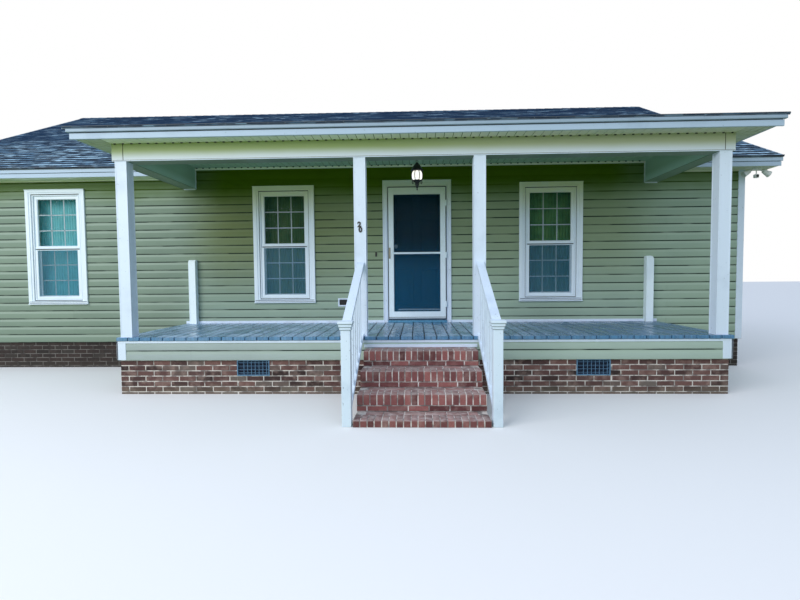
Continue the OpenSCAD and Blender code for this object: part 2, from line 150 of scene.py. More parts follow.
class Tree:
    """A node tree, with one method that makes any node."""

    def __init__(self, tree):
        self.tree = tree

    def node(self, kind, settings=None, values=None):
        made = self.tree.nodes.new(kind)
        for name, setting in (settings or {}).items():
            if name == "stops":
                for _ in setting[2:]:
                    made.color_ramp.elements.new(0.5)
                for stop, (place, colour) in zip(made.color_ramp.elements, setting):
                    stop.position, stop.color = place, colour
            else:
                setattr(made, name, setting)
        for key, value in (values or {}).items():
            self.fill(find_socket(made.inputs, key), value)
        return Node(self, made)

    def fill(self, socket, value):
        if isinstance(value, Socket):
            self.tree.links.new(value.output, socket)
        else:
            socket.default_value = value

    def mix(self, share, low, high):
        return self.node("ShaderNodeMix", {"data_type": "RGBA"}, {0: share, 6: low, 7: high})[2]


class Finish(Tree):
    """A material, with the patterns that its colour and surface are mixed from."""

    def __init__(self, name, **shader):
        self.material = bpy.data.materials.new(name)
        self.material.use_nodes = True
        super().__init__(self.material.node_tree)
        self.place = self.node("ShaderNodeTexCoord")["Object"]
        apart = self.node("ShaderNodeSeparateXYZ", values={"Vector": self.place})
        self.x, self.y, self.z = (apart[letter] for letter in "XYZ")
        self.set(**shader)

    def set(self, **values):
        """Fills the shader's sockets: base_color fills Base Color."""
        for name, value in values.items():
            socket = name.replace("_", " ").title().replace("Ior", "IOR")
            self.fill(self.tree.nodes["Principled BSDF"].inputs[socket], value)

    def cloud(self, scale, detail=2.0, stretch=None, rough=0.5):
        """Soft noise. A stretch above 1 on an axis makes it finer along that axis."""
        place = self.place
        if stretch:
            place = self.node("ShaderNodeMapping", values={"Vector": place, "Scale": stretch})[0]
        return self.node("ShaderNodeTexNoise", values={
            "Vector": place, "Scale": scale, "Detail": detail, "Roughness": rough})[0]

    def tone(self):
        """Each brick's, tab's or board's own shade, from 0 to 1."""
        return self.node("ShaderNodeAttribute", {"attribute_name": "tone"})["Fac"]

    def spots(self, low, high, *noise):
        """Spots where soft noise rises from low, where they fade to 0, to high."""
        return self.ease(self.cloud(*noise), low, high)

    def ease(self, value, low, high):
        """From 0 at low to 1 at high."""
        return self.node("ShaderNodeMapRange", {"interpolation_type": "SMOOTHSTEP"},
                         {"Value": value, "From Min": low, "From Max": high})[0]

    def in_porch(self):
        """1 in the middle of the porch, fading to 0 towards its ends and in front of it."""
        return self.ease((self.x - PORCH).size(), 3.9, 2.9) * (self.y < WALL + 0.1) * (
            self.y > PORCH_FRONT + 0.16)

    def toward_left_end(self):
        """1 at the porch's left end, fading to 0 at its right. It sets how painted light and shade
        change from one end of the porch to the other.
        """
        return self.ease(self.x, 3.6, 0.2)

    def mossy(self, colour, share=0.5):
        """A pale colour as it looks high up in the porch, where the light is green: that green
        light is painted into the colour.
        """
        high = self.ease(self.z, 2.2, 2.85) * self.in_porch() * share
        return self.mix(high, colour, card(212, 212, 136))

    def made(self, colour, height, distance, strength, **shader):
        """The material, with its colour and its bumps."""
        bumps = self.node("ShaderNodeBump", values={
            "Height": height, "Distance": distance, "Strength": strength})[0]
        self.set(base_color=colour, normal=bumps, **shader)
        return self.material


# Finishes

def siding_vinyl():
    """Grey-green laps with a painted highlight on each cove, a painted shadow line under each butt,
    and painted light and shade under the porch and the eaves.
    """
    f = Finish("siding_vinyl", roughness=0.65, specular_ior_level=0.05)
    rise = ((f.z - SIDING_BASE) / SIDING_COURSE) % 1.0
    along = f.cloud(2.2, 3, (1, 1, 12))
    # Painted shadow: a dark line under each lap's butt. Painted shade: a darker foot on each lap.
    shadow = f.ease(rise, 0.875, 0.905) * (0.45 + f.ease(along, 0.38, 0.52) * 0.53)
    foot = f.ease(rise, 0.10, 0.04) * 0.15
    dust = f.spots(0.35, 0.8, 1.3, 4) * 0.08
    grain = f.cloud(9, 4, (1, 1, 26))
    clean = f.mix(f.tone(), card(125, 143, 130), card(134, 152, 138))
    skirt = f.mix((f.y < PORCH_FRONT + 0.03) * 0.7, clean, card(184, 196, 200))
    grained = f.mix(f.ease(grain, 0.35, 0.75) * 0.3, skirt, card(144, 162, 148))
    porch = f.in_porch()
    # Painted highlight: the upper part of each lap's face is painted paler, less so under the porch
    # roof.
    cove = f.ease(rise, 0.57, 0.64) * (0.5 - porch * 0.25)
    pale = f.mix(cove, grained, card(172, 188, 176))
    height = f.z + f.cloud(1.5, 3) * 0.25
    walled = f.y < WALL + 0.1
    # Paler from left of the door rightwards along the front wall.
    faded = f.mix(f.ease(f.x, -1.0, 1.4) * walled * 0.46, pale, card(176, 200, 180))
    # Painted light: the lower courses under the porch are painted paler, most towards its left end.
    lit_low_courses = f.mix(f.ease(height, 1.7, 1.0) * porch * (f.toward_left_end() * 0.34 + 0.08), faded,
                   card(170, 192, 174))
    # Painted shade: under the porch the laps are painted olive and darker going up, more so towards
    # its left end.
    more_shade_leftward = f.ease(f.x, 2.5, -1.0) * 0.2
    porch_shade_olive = f.mix(f.ease(height, 1.0, 2.4) * porch * (more_shade_leftward + 0.42), lit_low_courses,
                 card(116, 124, 44))
    # The painted shadow lines and foot shade, with real dust, darken the laps.
    lined = f.mix(shadow.most(dust).most(foot), porch_shade_olive, card(22, 38, 38))
    # Painted shade: the top courses are painted dark olive under the eaves and, most strongly,
    # under the porch ceiling.
    eave = f.ease(height, 2.65, 3.05) * walled * 0.7
    stains_and_painted_shade = f.ease(height, 2.6, 3.05) * porch * 0.97
    return f.made(f.mix(stains_and_painted_shade.most(eave), lined, card(78, 104, 0)), grain, 0.0012, 0.5)


def trim_paint(name, clean, worn, wear=0.35, tiers=0.0):
    """Exterior paint on wood: faint grain, brush marks, some grey wear and small chips, with the
    porch's green light painted in high up.

    Tiers is how dark the painted shadow lies under each step of the newel caps."""
    f = Finish(name, roughness=0.5)
    grain = f.cloud(14, 4, (4, 4, 0.6))
    patches = f.spots(0.5, 0.8, 3.1, 5) * wear
    specks = f.spots(0.68, 0.78, 38, 2) * wear
    chips = f.spots(0.70, 0.73, 52, 2, (1, 1, 0.6)) * wear
    # Painted shadow: a dark band under each step of the newel caps.
    drop = NEWEL_TOP - f.z
    under = (drop % 0.028 > 0.0225) * (drop < 0.0845) * tiers
    # The porch's green light is painted in high up.
    aged = f.mix(patches.most(specks), f.mossy(clean), worn)
    return f.made(f.mix(chips.most(under), aged, card(92, 110, 126)), grain, 0.0015, 0.35)


def soffit_vinyl(name, clean, stained, right_end_colour):
    """Grooved vinyl with soft stains, its tint painted to change with the light from the porch's
    left end to its right.
    """
    f = Finish(name, roughness=0.6)
    stains_and_painted_shade = f.spots(0.4, 0.85, 1.7, 4) * 0.4
    # Painted light: the tint shifts from the porch's left end to its right.
    colour = f.mix(f.toward_left_end(), right_end_colour, clean)
    return f.made(f.mix(stains_and_painted_shade, colour, stained), f.cloud(60, 2), 0.0006, 0.3)


def beam_wrap(name, low, high, right_end_colour):
    """Pale sheet metal folded over a porch beam, with the green shade of its eave painted higher up
    and painted shade on its underside.
    """
    f = Finish(name, roughness=0.45)
    waves = f.cloud(2.2, 2, (1, 1, 0.4))
    shade = f.ease(f.z + waves * 0.02, 2.85, 2.97)
    # Painted shade on the beam's underside.
    under = f.ease(f.z, BEAM_LOW + 0.004, BEAM_LOW + 0.001)
    # Painted green shade high up, strongest towards the porch's left end.
    green_shade_colour = f.mix(f.toward_left_end() * 0.8, right_end_colour, high)
    colour = f.mix(under * 0.85, f.mix(shade, low, green_shade_colour), card(96, 120, 96))
    return f.made(colour, waves, 0.004, 0.3)


def brick_clay(name, dark, middle, light, grey):
    """Fired clay, each brick with its own shade, smeared, pitted and sandy."""
    f = Finish(name, roughness=0.88)
    fired = f.node("ShaderNodeValToRGB", {"stops": [
        (0.0, dark), (0.35, middle), (0.7, light), (0.86, middle), (1.0, grey)]},
        {"Fac": f.tone()})[0]
    sand = f.cloud(90, 4)
    smear = f.spots(0.45, 0.75, 11, 5) * 0.4
    pits = f.spots(0.60, 0.68, 160, 2) * 0.55
    bloom = f.mix(smear, fired, card(176, 150, 142))
    return f, f.mix(pits, bloom, card(62, 42, 42)), sand - pits * 0.6


def bed_shade_mask(f):
    """1 on the main foundation's front, which is painted dark for the shade of the garden bed in
    front of it, fading to 0 round its corners.
    """
    return (f.y > WALL - 0.1) * f.ease(f.y, WALL + 1.2, WALL + 0.05)


def wall_clay():
    f, colour, grit = brick_clay("wall_clay", card(38, 26, 26), card(84, 58, 57),
                                 card(114, 82, 78), card(110, 100, 95))
    mud = f.ease(f.z + f.cloud(3, 4) * 0.2, 0.24, 0.1) * 0.6
    muddy = f.mix(mud, colour, card(112, 104, 92))
    # Painted shade on the main foundation's front.
    return f.made(f.mix(bed_shade_mask(f) * 0.86, muddy, card(30, 28, 27)), grit, 0.003, 0.7)


def step_clay():
    """Redder clay, with pale dust trodden into the treads."""
    f, colour, grit = brick_clay("step_clay", card(80, 44, 46), card(126, 76, 76),
                                 card(158, 100, 96), card(138, 110, 106))
    under_tread = (LOW_TREAD - f.z) % RISER
    dust = f.ease(under_tread, 0.008, 0.003) * (0.25 + f.spots(0.35, 0.7, 14, 5) * 0.55)
    return f.made(f.mix(dust, colour, card(186, 172, 170)), grit, 0.003, 0.7)


def mortar():
    f = Finish("mortar", roughness=0.95)
    stains_and_painted_shade = f.spots(0.44, 0.60, 9, 5)
    aged = f.mix(stains_and_painted_shade * 0.8, card(216, 210, 206), card(98, 92, 92))
    # Painted shade on the main foundation's front.
    return f.made(f.mix(bed_shade_mask(f) * 0.78, aged, card(34, 33, 31)), f.cloud(240, 3), 0.002, 0.6)


def shingle_grit(name, eave, pitch, low, high, gloom):
    """Slate-coloured grit, with a dark band across the head of most tabs, partly printed in the
    grit and partly painted shadow, and a painted shadow line at each butt.

    The roof is painted darker by gloom, in streaks, from the height low to the height high: painted
    shade."""
    f = Finish(name, roughness=0.95, specular_ior_level=0.15)
    rise = ((f.z - eave) / math.sin(math.atan(pitch)) / TAB_COURSE) % 1.0
    tone = f.tone()
    own = (tone * 7.3) % 1.0
    dashes = f.spots(0.46, 0.53, 4.5, 3, (1, 3, 7))
    # Partly printed and partly painted shadow: a dark band across each tab's head.
    band = f.ease(rise, 0.45, 0.6) * (0.3 + f.ease(own, 0.2, 0.6) * 0.65)
    # Painted shadow along each butt.
    butt = f.ease(rise, 0.82, 0.87) * 0.95
    grit = f.cloud(420, 2)
    body = f.mix(f.ease(tone, 0.25, 0.75), card(86, 126, 158), card(168, 206, 232))
    worn = f.mix(dashes * 0.87, body, card(8, 34, 60))
    speckled = f.mix(f.ease(grit, 0.45, 0.62) * 0.25, worn, card(160, 184, 202))
    banded = f.mix(band.most(butt), speckled, card(6, 18, 34))
    # Painted shade, in streaks, growing towards the height high.
    shade = f.ease(f.z, low, high)
    streaks = f.spots(0.42, 0.52, 1.5, 4, (1, 1, 6)) * shade * 0.9
    streaked = f.mix(streaks, banded, card(0, 36, 66))
    return f.made(f.mix(shade * gloom, streaked, card(0, 56, 96)), grit, 0.002, 0.8)


def deck_paint():
    """Blue-grey porch paint, worn pale in the walked strips and scuffed along the grain."""
    f = Finish("deck_paint", roughness=0.42)
    grain = f.cloud(6, 5, (9, 0.8, 1))
    scuffs = f.spots(0.46, 0.6, 2.4, 7, (2.2, 0.9, 1), 0.62)
    flakes = f.spots(0.56, 0.62, 24, 4, (3, 0.7, 1)) * f.spots(0.45, 0.6, 1.5, 2)
    body = f.mix(f.tone(), card(82, 130, 168), card(132, 172, 208))
    worn = f.mix(scuffs * 0.6, body, card(196, 222, 246))
    bare = f.mix(flakes * 0.75, worn, card(50, 78, 106))
    phase = ((f.x - DECK_LOW.x - DECK_ANCHOR) / DECK_BOARD) % 1.0
    seams = f.ease(phase, 0.87, 0.95).most(f.ease(phase, 0.08, 0.01)) * 0.6
    lined = f.mix(seams, bare, card(34, 64, 92))
    # Painted shade: the deck is painted darker and bluer towards the porch's right end.
    shaded = f.mix(f.ease(f.x, GATE + 0.8, GATE + 2.4) * 0.6, lined, card(24, 84, 128))
    # Painted shade: the boards' front ends are painted darker, with dark ticks.
    edge = f.ease(f.y, PORCH_FRONT - 0.012, PORCH_FRONT - 0.022)
    ticks = f.spots(0.42, 0.6, 30, 3, (1, 0.1, 0.1)) * 0.5
    rim = f.mix(ticks, card(74, 128, 168), card(44, 78, 108))
    colour = f.mix(edge * 0.8, shaded, rim)
    return f.made(colour, grain + scuffs * 0.3 - flakes * 0.4, 0.0018, 0.6,
                  roughness=0.22 + scuffs * 0.3)


def window_vinyl():
    f = Finish("window_vinyl", roughness=0.35)
    haze = f.spots(0.4, 0.8, 5, 3) * 0.3
    # The porch's green light is painted in high up.
    colour = f.mix(haze, f.mossy(card(226, 240, 252), 0.7), card(206, 222, 236))
    return f.made(colour, f.cloud(50, 2), 0.0005, 0.2)


def pane_glass(name, upper, lower, alpha):
    """Clear glass, tinted by what it reflects, with the faint waves of an old pane."""
    f = Finish(name, alpha=alpha, specular_ior_level=0.05)
    film = f.spots(0.35, 0.75, 3, 3)
    tint = f.mix(f.ease(f.z, 2.1, 1.4), upper, lower)
    colour = f.mix(film * 0.15, tint, card(40, 86, 110))
    return f.made(colour, f.cloud(1.2, 1), 0.002, 0.05, roughness=0.02 + film * 0.04)


def screen_mesh():
    """The fine grey mesh of an insect screen, which veils what is behind it."""
    f = Finish("screen_mesh", roughness=0.7, alpha=0.17)
    weave = f.cloud(900, 1, (1, 1, 0.2)) + f.cloud(900, 1, (0.2, 0.2, 1))
    sag = f.spots(0.3, 0.7, 2, 3)
    return f.made(f.mix(sag, card(84, 144, 170), card(104, 160, 184)), weave, 0.0004, 0.5)


def metal(name, colour, tarnish, roughness, metallic=1.0):
    f = Finish(name, metallic=metallic)
    age = f.spots(0.4, 0.75, 34, 4)
    colour = f.mix(age * 0.6, colour, tarnish)
    return f.made(colour, f.cloud(220, 2), 0.0003, 0.3, roughness=roughness + age * 0.15)


def enamel(name, colour, roughness=0.3, high=0.0, dusty=0.25, sheen=0.5):
    """A smooth coloured coat with a little dust in it, and the porch's green light painted in high
    up.
    """
    f = Finish(name, specular_ior_level=sheen)
    dust = f.spots(0.45, 0.8, 18, 4)
    # The porch's green light is painted in high up, by the share high.
    colour = f.mix(dust * dusty, f.mossy(colour, high), card(120, 124, 124))
    return f.made(colour, f.cloud(90, 2), 0.0004, 0.25, roughness=roughness + dust * 0.15)


def lamp_glass():
    """Ribbed glass with the lamp alight behind it."""
    f = Finish("lamp_glass", roughness=0.2, emission_strength=1.0)
    f.set(base_color=card(250, 246, 232),
          emission_color=f.mix(f.spots(0.3, 0.7, 22, 2), card(255, 250, 240),
                               card(255, 255, 255)))
    return f.material


def floor_wood():
    f = Finish("floor_wood", roughness=0.35)
    board = (f.x / 0.09).floor()
    seed = f.node("ShaderNodeTexWhiteNoise", {"noise_dimensions": "1D"}, {"W": board})[0]
    grain = f.cloud(7, 5, (12, 0.7, 1))
    body = f.mix(seed, card(132, 92, 60), card(156, 114, 78))
    return f.made(f.mix(f.ease(grain, 0.3, 0.8) * 0.4, body, card(96, 64, 40)), grain, 0.001, 0.4)


def wall_lining():
    """Plaster paint indoors, and the siding's colour on what shows outdoors."""
    f = Finish("wall_lining", roughness=0.8)
    indoors = (f.x.size() < END - 0.06) * (f.y > WALL + 0.06) * (f.y < BACK - 0.06)
    roller = f.cloud(120, 3)
    plaster = f.mix(f.ease(roller, 0.4, 0.7) * 0.3, card(214, 208, 196), card(204, 198, 186))
    return f.made(f.mix(indoors, card(108, 126, 106), plaster), roller, 0.0008, 0.3)


def ceiling_board():
    f = Finish("ceiling_board", roughness=0.85)
    stipple = f.cloud(150, 3)
    colour = f.mix(f.ease(stipple, 0.4, 0.7) * 0.3, card(226, 224, 218), card(210, 208, 202))
    return f.made(colour, stipple, 0.001, 0.4)


def curtain_cloth(name, upper, lower, faded):
    f = Finish(name, roughness=0.85)
    weave = f.cloud(700, 1, (1, 1, 0.5)) + f.cloud(700, 1, (0.3, 0.3, 2)) * 0.6
    fade = f.spots(0.4, 0.7, 7, 3)
    # Painted light: each cloth is coloured apart above and below the meeting rail, for the
    # different light and reflections on the two sashes.
    colour = f.mix(f.ease(f.z, 2.0, 1.85), upper, lower)
    return f.made(f.mix(fade * 0.45, colour, faded), weave, 0.0006, 0.4)


SIDING = siding_vinyl()
TRIM = trim_paint("trim_paint", card(218, 232, 250), card(176, 192, 212))
RAIL_PAINT = trim_paint("rail_paint", card(218, 234, 252), card(160, 180, 204), 0.6)
NEWEL_PAINT = trim_paint("newel_paint", card(222, 238, 255), card(174, 194, 218), 0.5, 0.8)
# Painted light: a brighter copy of the trim paint for the half posts, which stand in the porch's
# shade.
LIT_POST_PAINT = trim_paint("post_paint", card(232, 247, 255), card(184, 204, 228), 0.25)
FASCIA = trim_paint("fascia_paint", card(172, 194, 216), card(140, 162, 184))
CROWN = trim_paint("crown_paint", card(148, 170, 190), card(118, 140, 160))
SOFFIT_VINYL = soffit_vinyl("soffit_vinyl", card(250, 255, 238), card(222, 236, 204),
                            card(236, 236, 226))
# Painted shade: a darker copy of the soffit vinyl for the soffits at the porch's ends.
SHADED_SIDE_SOFFIT = soffit_vinyl("side_soffit_vinyl", card(196, 206, 184), card(172, 184, 156),
                           card(220, 222, 212))
# Painted shade: a darker copy of the soffit vinyl for the porch ceiling, deep in the porch's shade.
SHADED_CEILING_VINYL = soffit_vinyl("ceiling_vinyl", card(184, 214, 192), card(152, 184, 156),
                             card(180, 210, 184))
BEAM = beam_wrap("beam_wrap", card(210, 222, 232), card(158, 180, 108), card(180, 188, 154))
# Painted light: a lighter copy of the beam wrap for the side beams, which stand deep in the porch's
# shade.
LIT_SIDE_BEAM = beam_wrap("side_beam_wrap", card(202, 230, 222), card(170, 202, 182),
                      card(168, 198, 178))
WALL_CLAY = wall_clay()
STEP_CLAY = step_clay()
MORTAR = mortar()
GRIT = shingle_grit("main_shingles", EAVE, MAIN_PITCH, 3.7, 4.4, 0.34)
PORCH_GRIT = shingle_grit("porch_shingles", PORCH_EAVE, PORCH_PITCH, 3.0, 3.4, 0.32)
DECK_PAINT = deck_paint()
VINYL = window_vinyl()
PANE = pane_glass("window_glass", card(16, 70, 66), card(20, 84, 104), 0.17)
DOOR_PANE = pane_glass("storm_glass", card(22, 52, 66), card(34, 96, 132), 0.34)
SCREEN = screen_mesh()
STORM_FRAME = enamel("storm_frame", card(228, 244, 255), 0.3, 0.5, 0.06)
DOOR_PAINT = enamel("door_paint", card(24, 50, 70), 0.25, 0.0, 0.06, 0.1)
BRASS = metal("brass", card(150, 144, 124), card(92, 82, 60), 0.25, 0.5)
KNOB = metal("knob_chrome", card(250, 255, 255), card(236, 246, 255), 0.2, 0.15)
STEEL = metal("satin_steel", card(206, 212, 216), card(150, 156, 160), 0.28)
SILL_METAL = metal("sill_metal", card(88, 150, 186), card(50, 106, 144), 0.5, 0.2)
VENT_METAL = metal("vent_metal", card(96, 136, 168), card(52, 86, 116), 0.5, 0.3)
LOUVRE_METAL = metal("louvre_metal", card(18, 42, 70), card(10, 24, 42), 0.6, 0.3)
# Black for small black parts, and painted shadow in gaps, slots and grooves.
DARK = enamel("black_parts_and_painted_shadow", card(16, 20, 22), 0.7)
IRON = enamel("lantern_black", card(16, 15, 14), 0.35)
LAMP = lamp_glass()
LAMP_SHELL = enamel("lamp_shell", card(226, 230, 230), 0.4)
# Dark seams between the wrap's lengths, and a painted shadow line along the header's foot.
SEAM = enamel("seam_caulk_and_painted_shadow", card(52, 46, 30), 0.8)
GROOVE_SHADE = enamel("groove_shade", card(96, 116, 80), 0.8, 0.0, 0.1)
DRIP_EDGE = enamel("drip_edge", card(62, 72, 84), 0.5)
# The door sweep, and painted shadow lines along the window sills.
SWEEP_AND_SHADOW_LINES = enamel("door_sweep_and_shadow_lines", card(38, 62, 84), 0.6)
FLOOR_WOOD = floor_wood()
LINING = wall_lining()
CEILING = ceiling_board()
PALE_CLOTH = curtain_cloth("pale_curtain", card(146, 230, 238), card(120, 232, 248),
                           card(122, 206, 220))
# Darker cloths for the two windows under the porch: partly darker curtains, partly painted shade.
SAGE_CLOTH = curtain_cloth("sage_curtain", card(90, 122, 70), card(92, 124, 72),
                           card(54, 88, 56))
MOSS_CLOTH = curtain_cloth("moss_curtain", card(108, 160, 98), card(0, 90, 88),
                           card(44, 92, 68))


# Solids

def facing(x, y, turn=0.0, z=0.0):
    """Local X runs to the right along a face, local -Y points out of it and Z stays up."""
    return Matrix.Translation((x, y, z)) @ Matrix.Rotation(math.radians(turn), 4, "Z")


def axes(place, *directions):
    """Local X, Y and Z along three directions, from a place."""
    return Matrix.Translation(place) @ Matrix(directions).transposed().to_4x4()


def sloping(x, y, z, pitch=0.0):
    """Local X runs along the front, local Z up a slope, and local -Y out of it."""
    run = math.hypot(1, pitch)
    return axes((x, y, z), (1, 0, 0), (0, pitch / run, -1 / run), (0, 1 / run, pitch / run))


def wrap(rings, count, closed=False):
    """The faces between rings of points, with count points in each."""
    return [[a * count + b, a * count + (b + 1) % count,
             (a + 1) % rings * count + (b + 1) % count, (a + 1) % rings * count + b]
            for a in range(rings if closed else rings - 1) for b in range(count)]


def circle(sides, turn=0.0):
    return [math.tau * (k + turn) / sides for k in range(sides)]


class Shape:
    """Gathers the closed solids of one piece, each with its own finish."""

    def __init__(self, at=None):
        self.at = at or Matrix()
        self.points, self.faces, self.marks, self.tones, self.finishes = [], [], [], [], []

    def add(self, points, faces, finish, tones=None):
        first = len(self.points)
        if finish not in self.finishes:
            self.finishes.append(finish)
        self.points += [self.at @ Vector(p) for p in points]
        self.faces += [[first + i for i in face] for face in faces]
        self.marks += [self.finishes.index(finish)] * len(faces)
        self.tones += tones or [0.5] * len(points)

    def loft(self, rings, finish, tone=0.5):
        """Joins rings of points into a closed solid."""
        count, points = len(rings[0]), [p for ring in rings for p in ring]
        ends = [list(range(count))[::-1], list(range(len(points)))[-count:]]
        self.add(points, wrap(len(rings), count) + ends, finish, [tone] * len(points))

    def along_x(self, x0, x1, outline, finish):
        """An outline of (y, z) points drawn out from x0 to x1."""
        self.loft([[(x, y, z) for y, z in outline] for x in (x0, x1)], finish)

    def along_z(self, z0, z1, outline, finish):
        """An outline of (x, y) points drawn up from z0 to z1."""
        self.loft([[(x, y, z) for x, y in outline] for z in (z0, z1)], finish)

    def block(self, low, high, finish, ease=0.002):
        """A box with its edges eased."""
        self.add(*eased_box(low, high, (ease,) * 3), finish)

    def ring(self, x0, x1, z0, z1, profile, finish, widths=(1, 1, 1)):
        """A mitred frame inside a rectangle, its profile in (inwards, outwards) points.

        The widths scale the inward distances at the sides, the foot and the head."""
        side, foot, head = widths
        points = [(x + across * u, -v, z + rise * u)
                  for x, across, z, rise in ((x0, side, z0, foot), (x1, -side, z0, foot),
                                             (x1, -side, z1, -head), (x0, side, z1, -head))
                  for u, v in profile]
        self.add(points, wrap(4, len(profile), True), finish)

    def turned(self, profile, finish, sides=24, centre=(0, 0, 0), towards=(0, 0, 1)):
        """A profile of (radius, height) points turned round an axis."""
        turn = Vector((0, 0, 1)).rotation_difference(Vector(towards)).to_matrix()
        self.loft([[Vector(centre) + turn @ Vector((r * math.cos(a), r * math.sin(a), h))
                    for a in circle(sides)] for r, h in profile], finish)

    def tube(self, path, radius, finish, sides=10):
        """A round bar along a path."""
        path = [Vector(p) for p in path]
        rings, side = [], Vector((0, 1, 0))
        for k, point in enumerate(path):
            ahead = (path[min(k + 1, len(path) - 1)] - path[max(k - 1, 0)]).normalized()
            side = (side - ahead * side.dot(ahead)).normalized()
            if side.length < 0.5:
                side = ahead.orthogonal().normalized()
            up = ahead.cross(side)
            rings.append([point + radius * (side * math.cos(a) + up * math.sin(a))
                          for a in circle(sides)])
        self.loft(rings, finish)

    def take(self, mesh, finish):
        """Takes in a finished mesh, with each part's own tone, and removes it."""
        tone = mesh.attributes.get("tone")
        self.add([v.co for v in mesh.vertices], [list(p.vertices) for p in mesh.polygons],
                 finish, tone and [t.value for t in tone.data])
        bpy.data.meshes.remove(mesh)

    def piece(self, name, slot, *replaced, body="house"):
        mesh = bpy.data.meshes.new(name)
        mesh.from_pydata(self.points, [], self.faces)
        for finish in self.finishes:
            mesh.materials.append(finish)
        mesh.polygons.foreach_set("material_index", self.marks)
        mesh.attributes.new("tone", "FLOAT", "POINT").data.foreach_set("value", self.tones)
        outwards(mesh)
        return settle(put(name, mesh), replaced, body)


def put(name, data):
    """A new object in the scene."""
    made = bpy.data.objects.new(name, data)
    scene.collection.objects.link(made)
    return made


def solid_mesh(maker):
    """The mesh that a maker's modifiers or letters come to. The maker is removed."""
    graph = bpy.context.evaluated_depsgraph_get()
    mesh = bpy.data.meshes.new_from_object(maker.evaluated_get(graph))
    bpy.data.objects.remove(maker)
    return mesh


def merge(mesh, flatten=False):
    """Joins points in one place, and the flat faces between sharp edges too if asked."""
    work = bmesh.new()
    work.from_mesh(mesh)
    bmesh.ops.remove_doubles(work, verts=work.verts, dist=1e-5)
    if flatten:
        bmesh.ops.dissolve_limit(work, angle_limit=math.radians(1), verts=work.verts,
                                 edges=work.edges)
    work.to_mesh(mesh)
    work.free()


def outwards(mesh):
    """Turns every face outwards, and shades round work smoothly."""
    work = bmesh.new()
    work.from_mesh(mesh)
    bmesh.ops.recalc_face_normals(work, faces=work.faces)
    work.to_mesh(mesh)
    work.free()
    mesh.shade_smooth()
    mesh.set_sharp_from_angle(angle=math.radians(32))


def settle(made, replaced, body):
    """Puts a finished piece on its body."""
    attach(made, body)
    if replaced:
        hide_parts(*replaced)
    return made


def eased_box(low, high, eases):
    """The points and faces of a box with chamfered edges."""
    corners = list(product((0, 1), repeat=3))
    index = {key: k for k, key in enumerate(product(corners, range(3)))}
    points = [[(high if ends[a] else low)[a] + (a != flat) * (1 - 2 * ends[a]) * eases[a]
               for a in range(3)] for ends, flat in index]
    faces = [[index[ends, flat] for flat in range(3)] for ends in corners]
    for flat in range(3):
        a, b = (axis for axis in range(3) if axis != flat)

        def corner(i, j, end):
            return tuple({a: i, b: j, flat: end}[axis] for axis in range(3))

        faces += [[index[corner(i, j, end), flat] for i, j in ((0, 0), (1, 0), (1, 1), (0, 1))]
                  for end in (0, 1)]
        for i, j in product((0, 1), repeat=2):
            first, last = corner(i, j, 0), corner(i, j, 1)
            faces.append([index[first, a], index[first, b], index[last, b], index[last, a]])
    return points, faces


def eased(node, finish, width, name):
    """A node's own solid with its sharp edges eased, in place of the node."""
    source = nodes[node]
    made = put(name, source.data.copy())
    made.matrix_basis = source.matrix_basis
    mesh = made.data
    mesh.name = name
    merge(mesh, flatten=True)
    coat(mesh, finish)
    bevel = made.modifiers.new("eased edges", "BEVEL")
    bevel.width, bevel.segments, bevel.limit_method = width, 2, "ANGLE"
    bevel.angle_limit = math.radians(30)
    return settle(made, [node], source["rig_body"])


def coat(mesh, finish):
    mesh.materials.clear()
    mesh.materials.append(finish)


# Courses of bricks, tabs, boards and strips

SIZES = {
    "start": 0.0, "end": 1.0, "low": 0.0, "high": 1.0, "module": 1.0, "course": 1.0,
    "joint": 0.0, "bed": 0.0, "anchor": 0.0, "base": 0.0, "stagger": 0.0, "scatter": 0.0,
    "left_tooth": 0.0, "right_tooth": 0.0, "parity": 0.0, "spring": 0.0, "rake": 0.0,
    "span": 1000.0, "wobble": 0.0, "ragged": 0.0, "least": 0.012, "seed": 1.0}


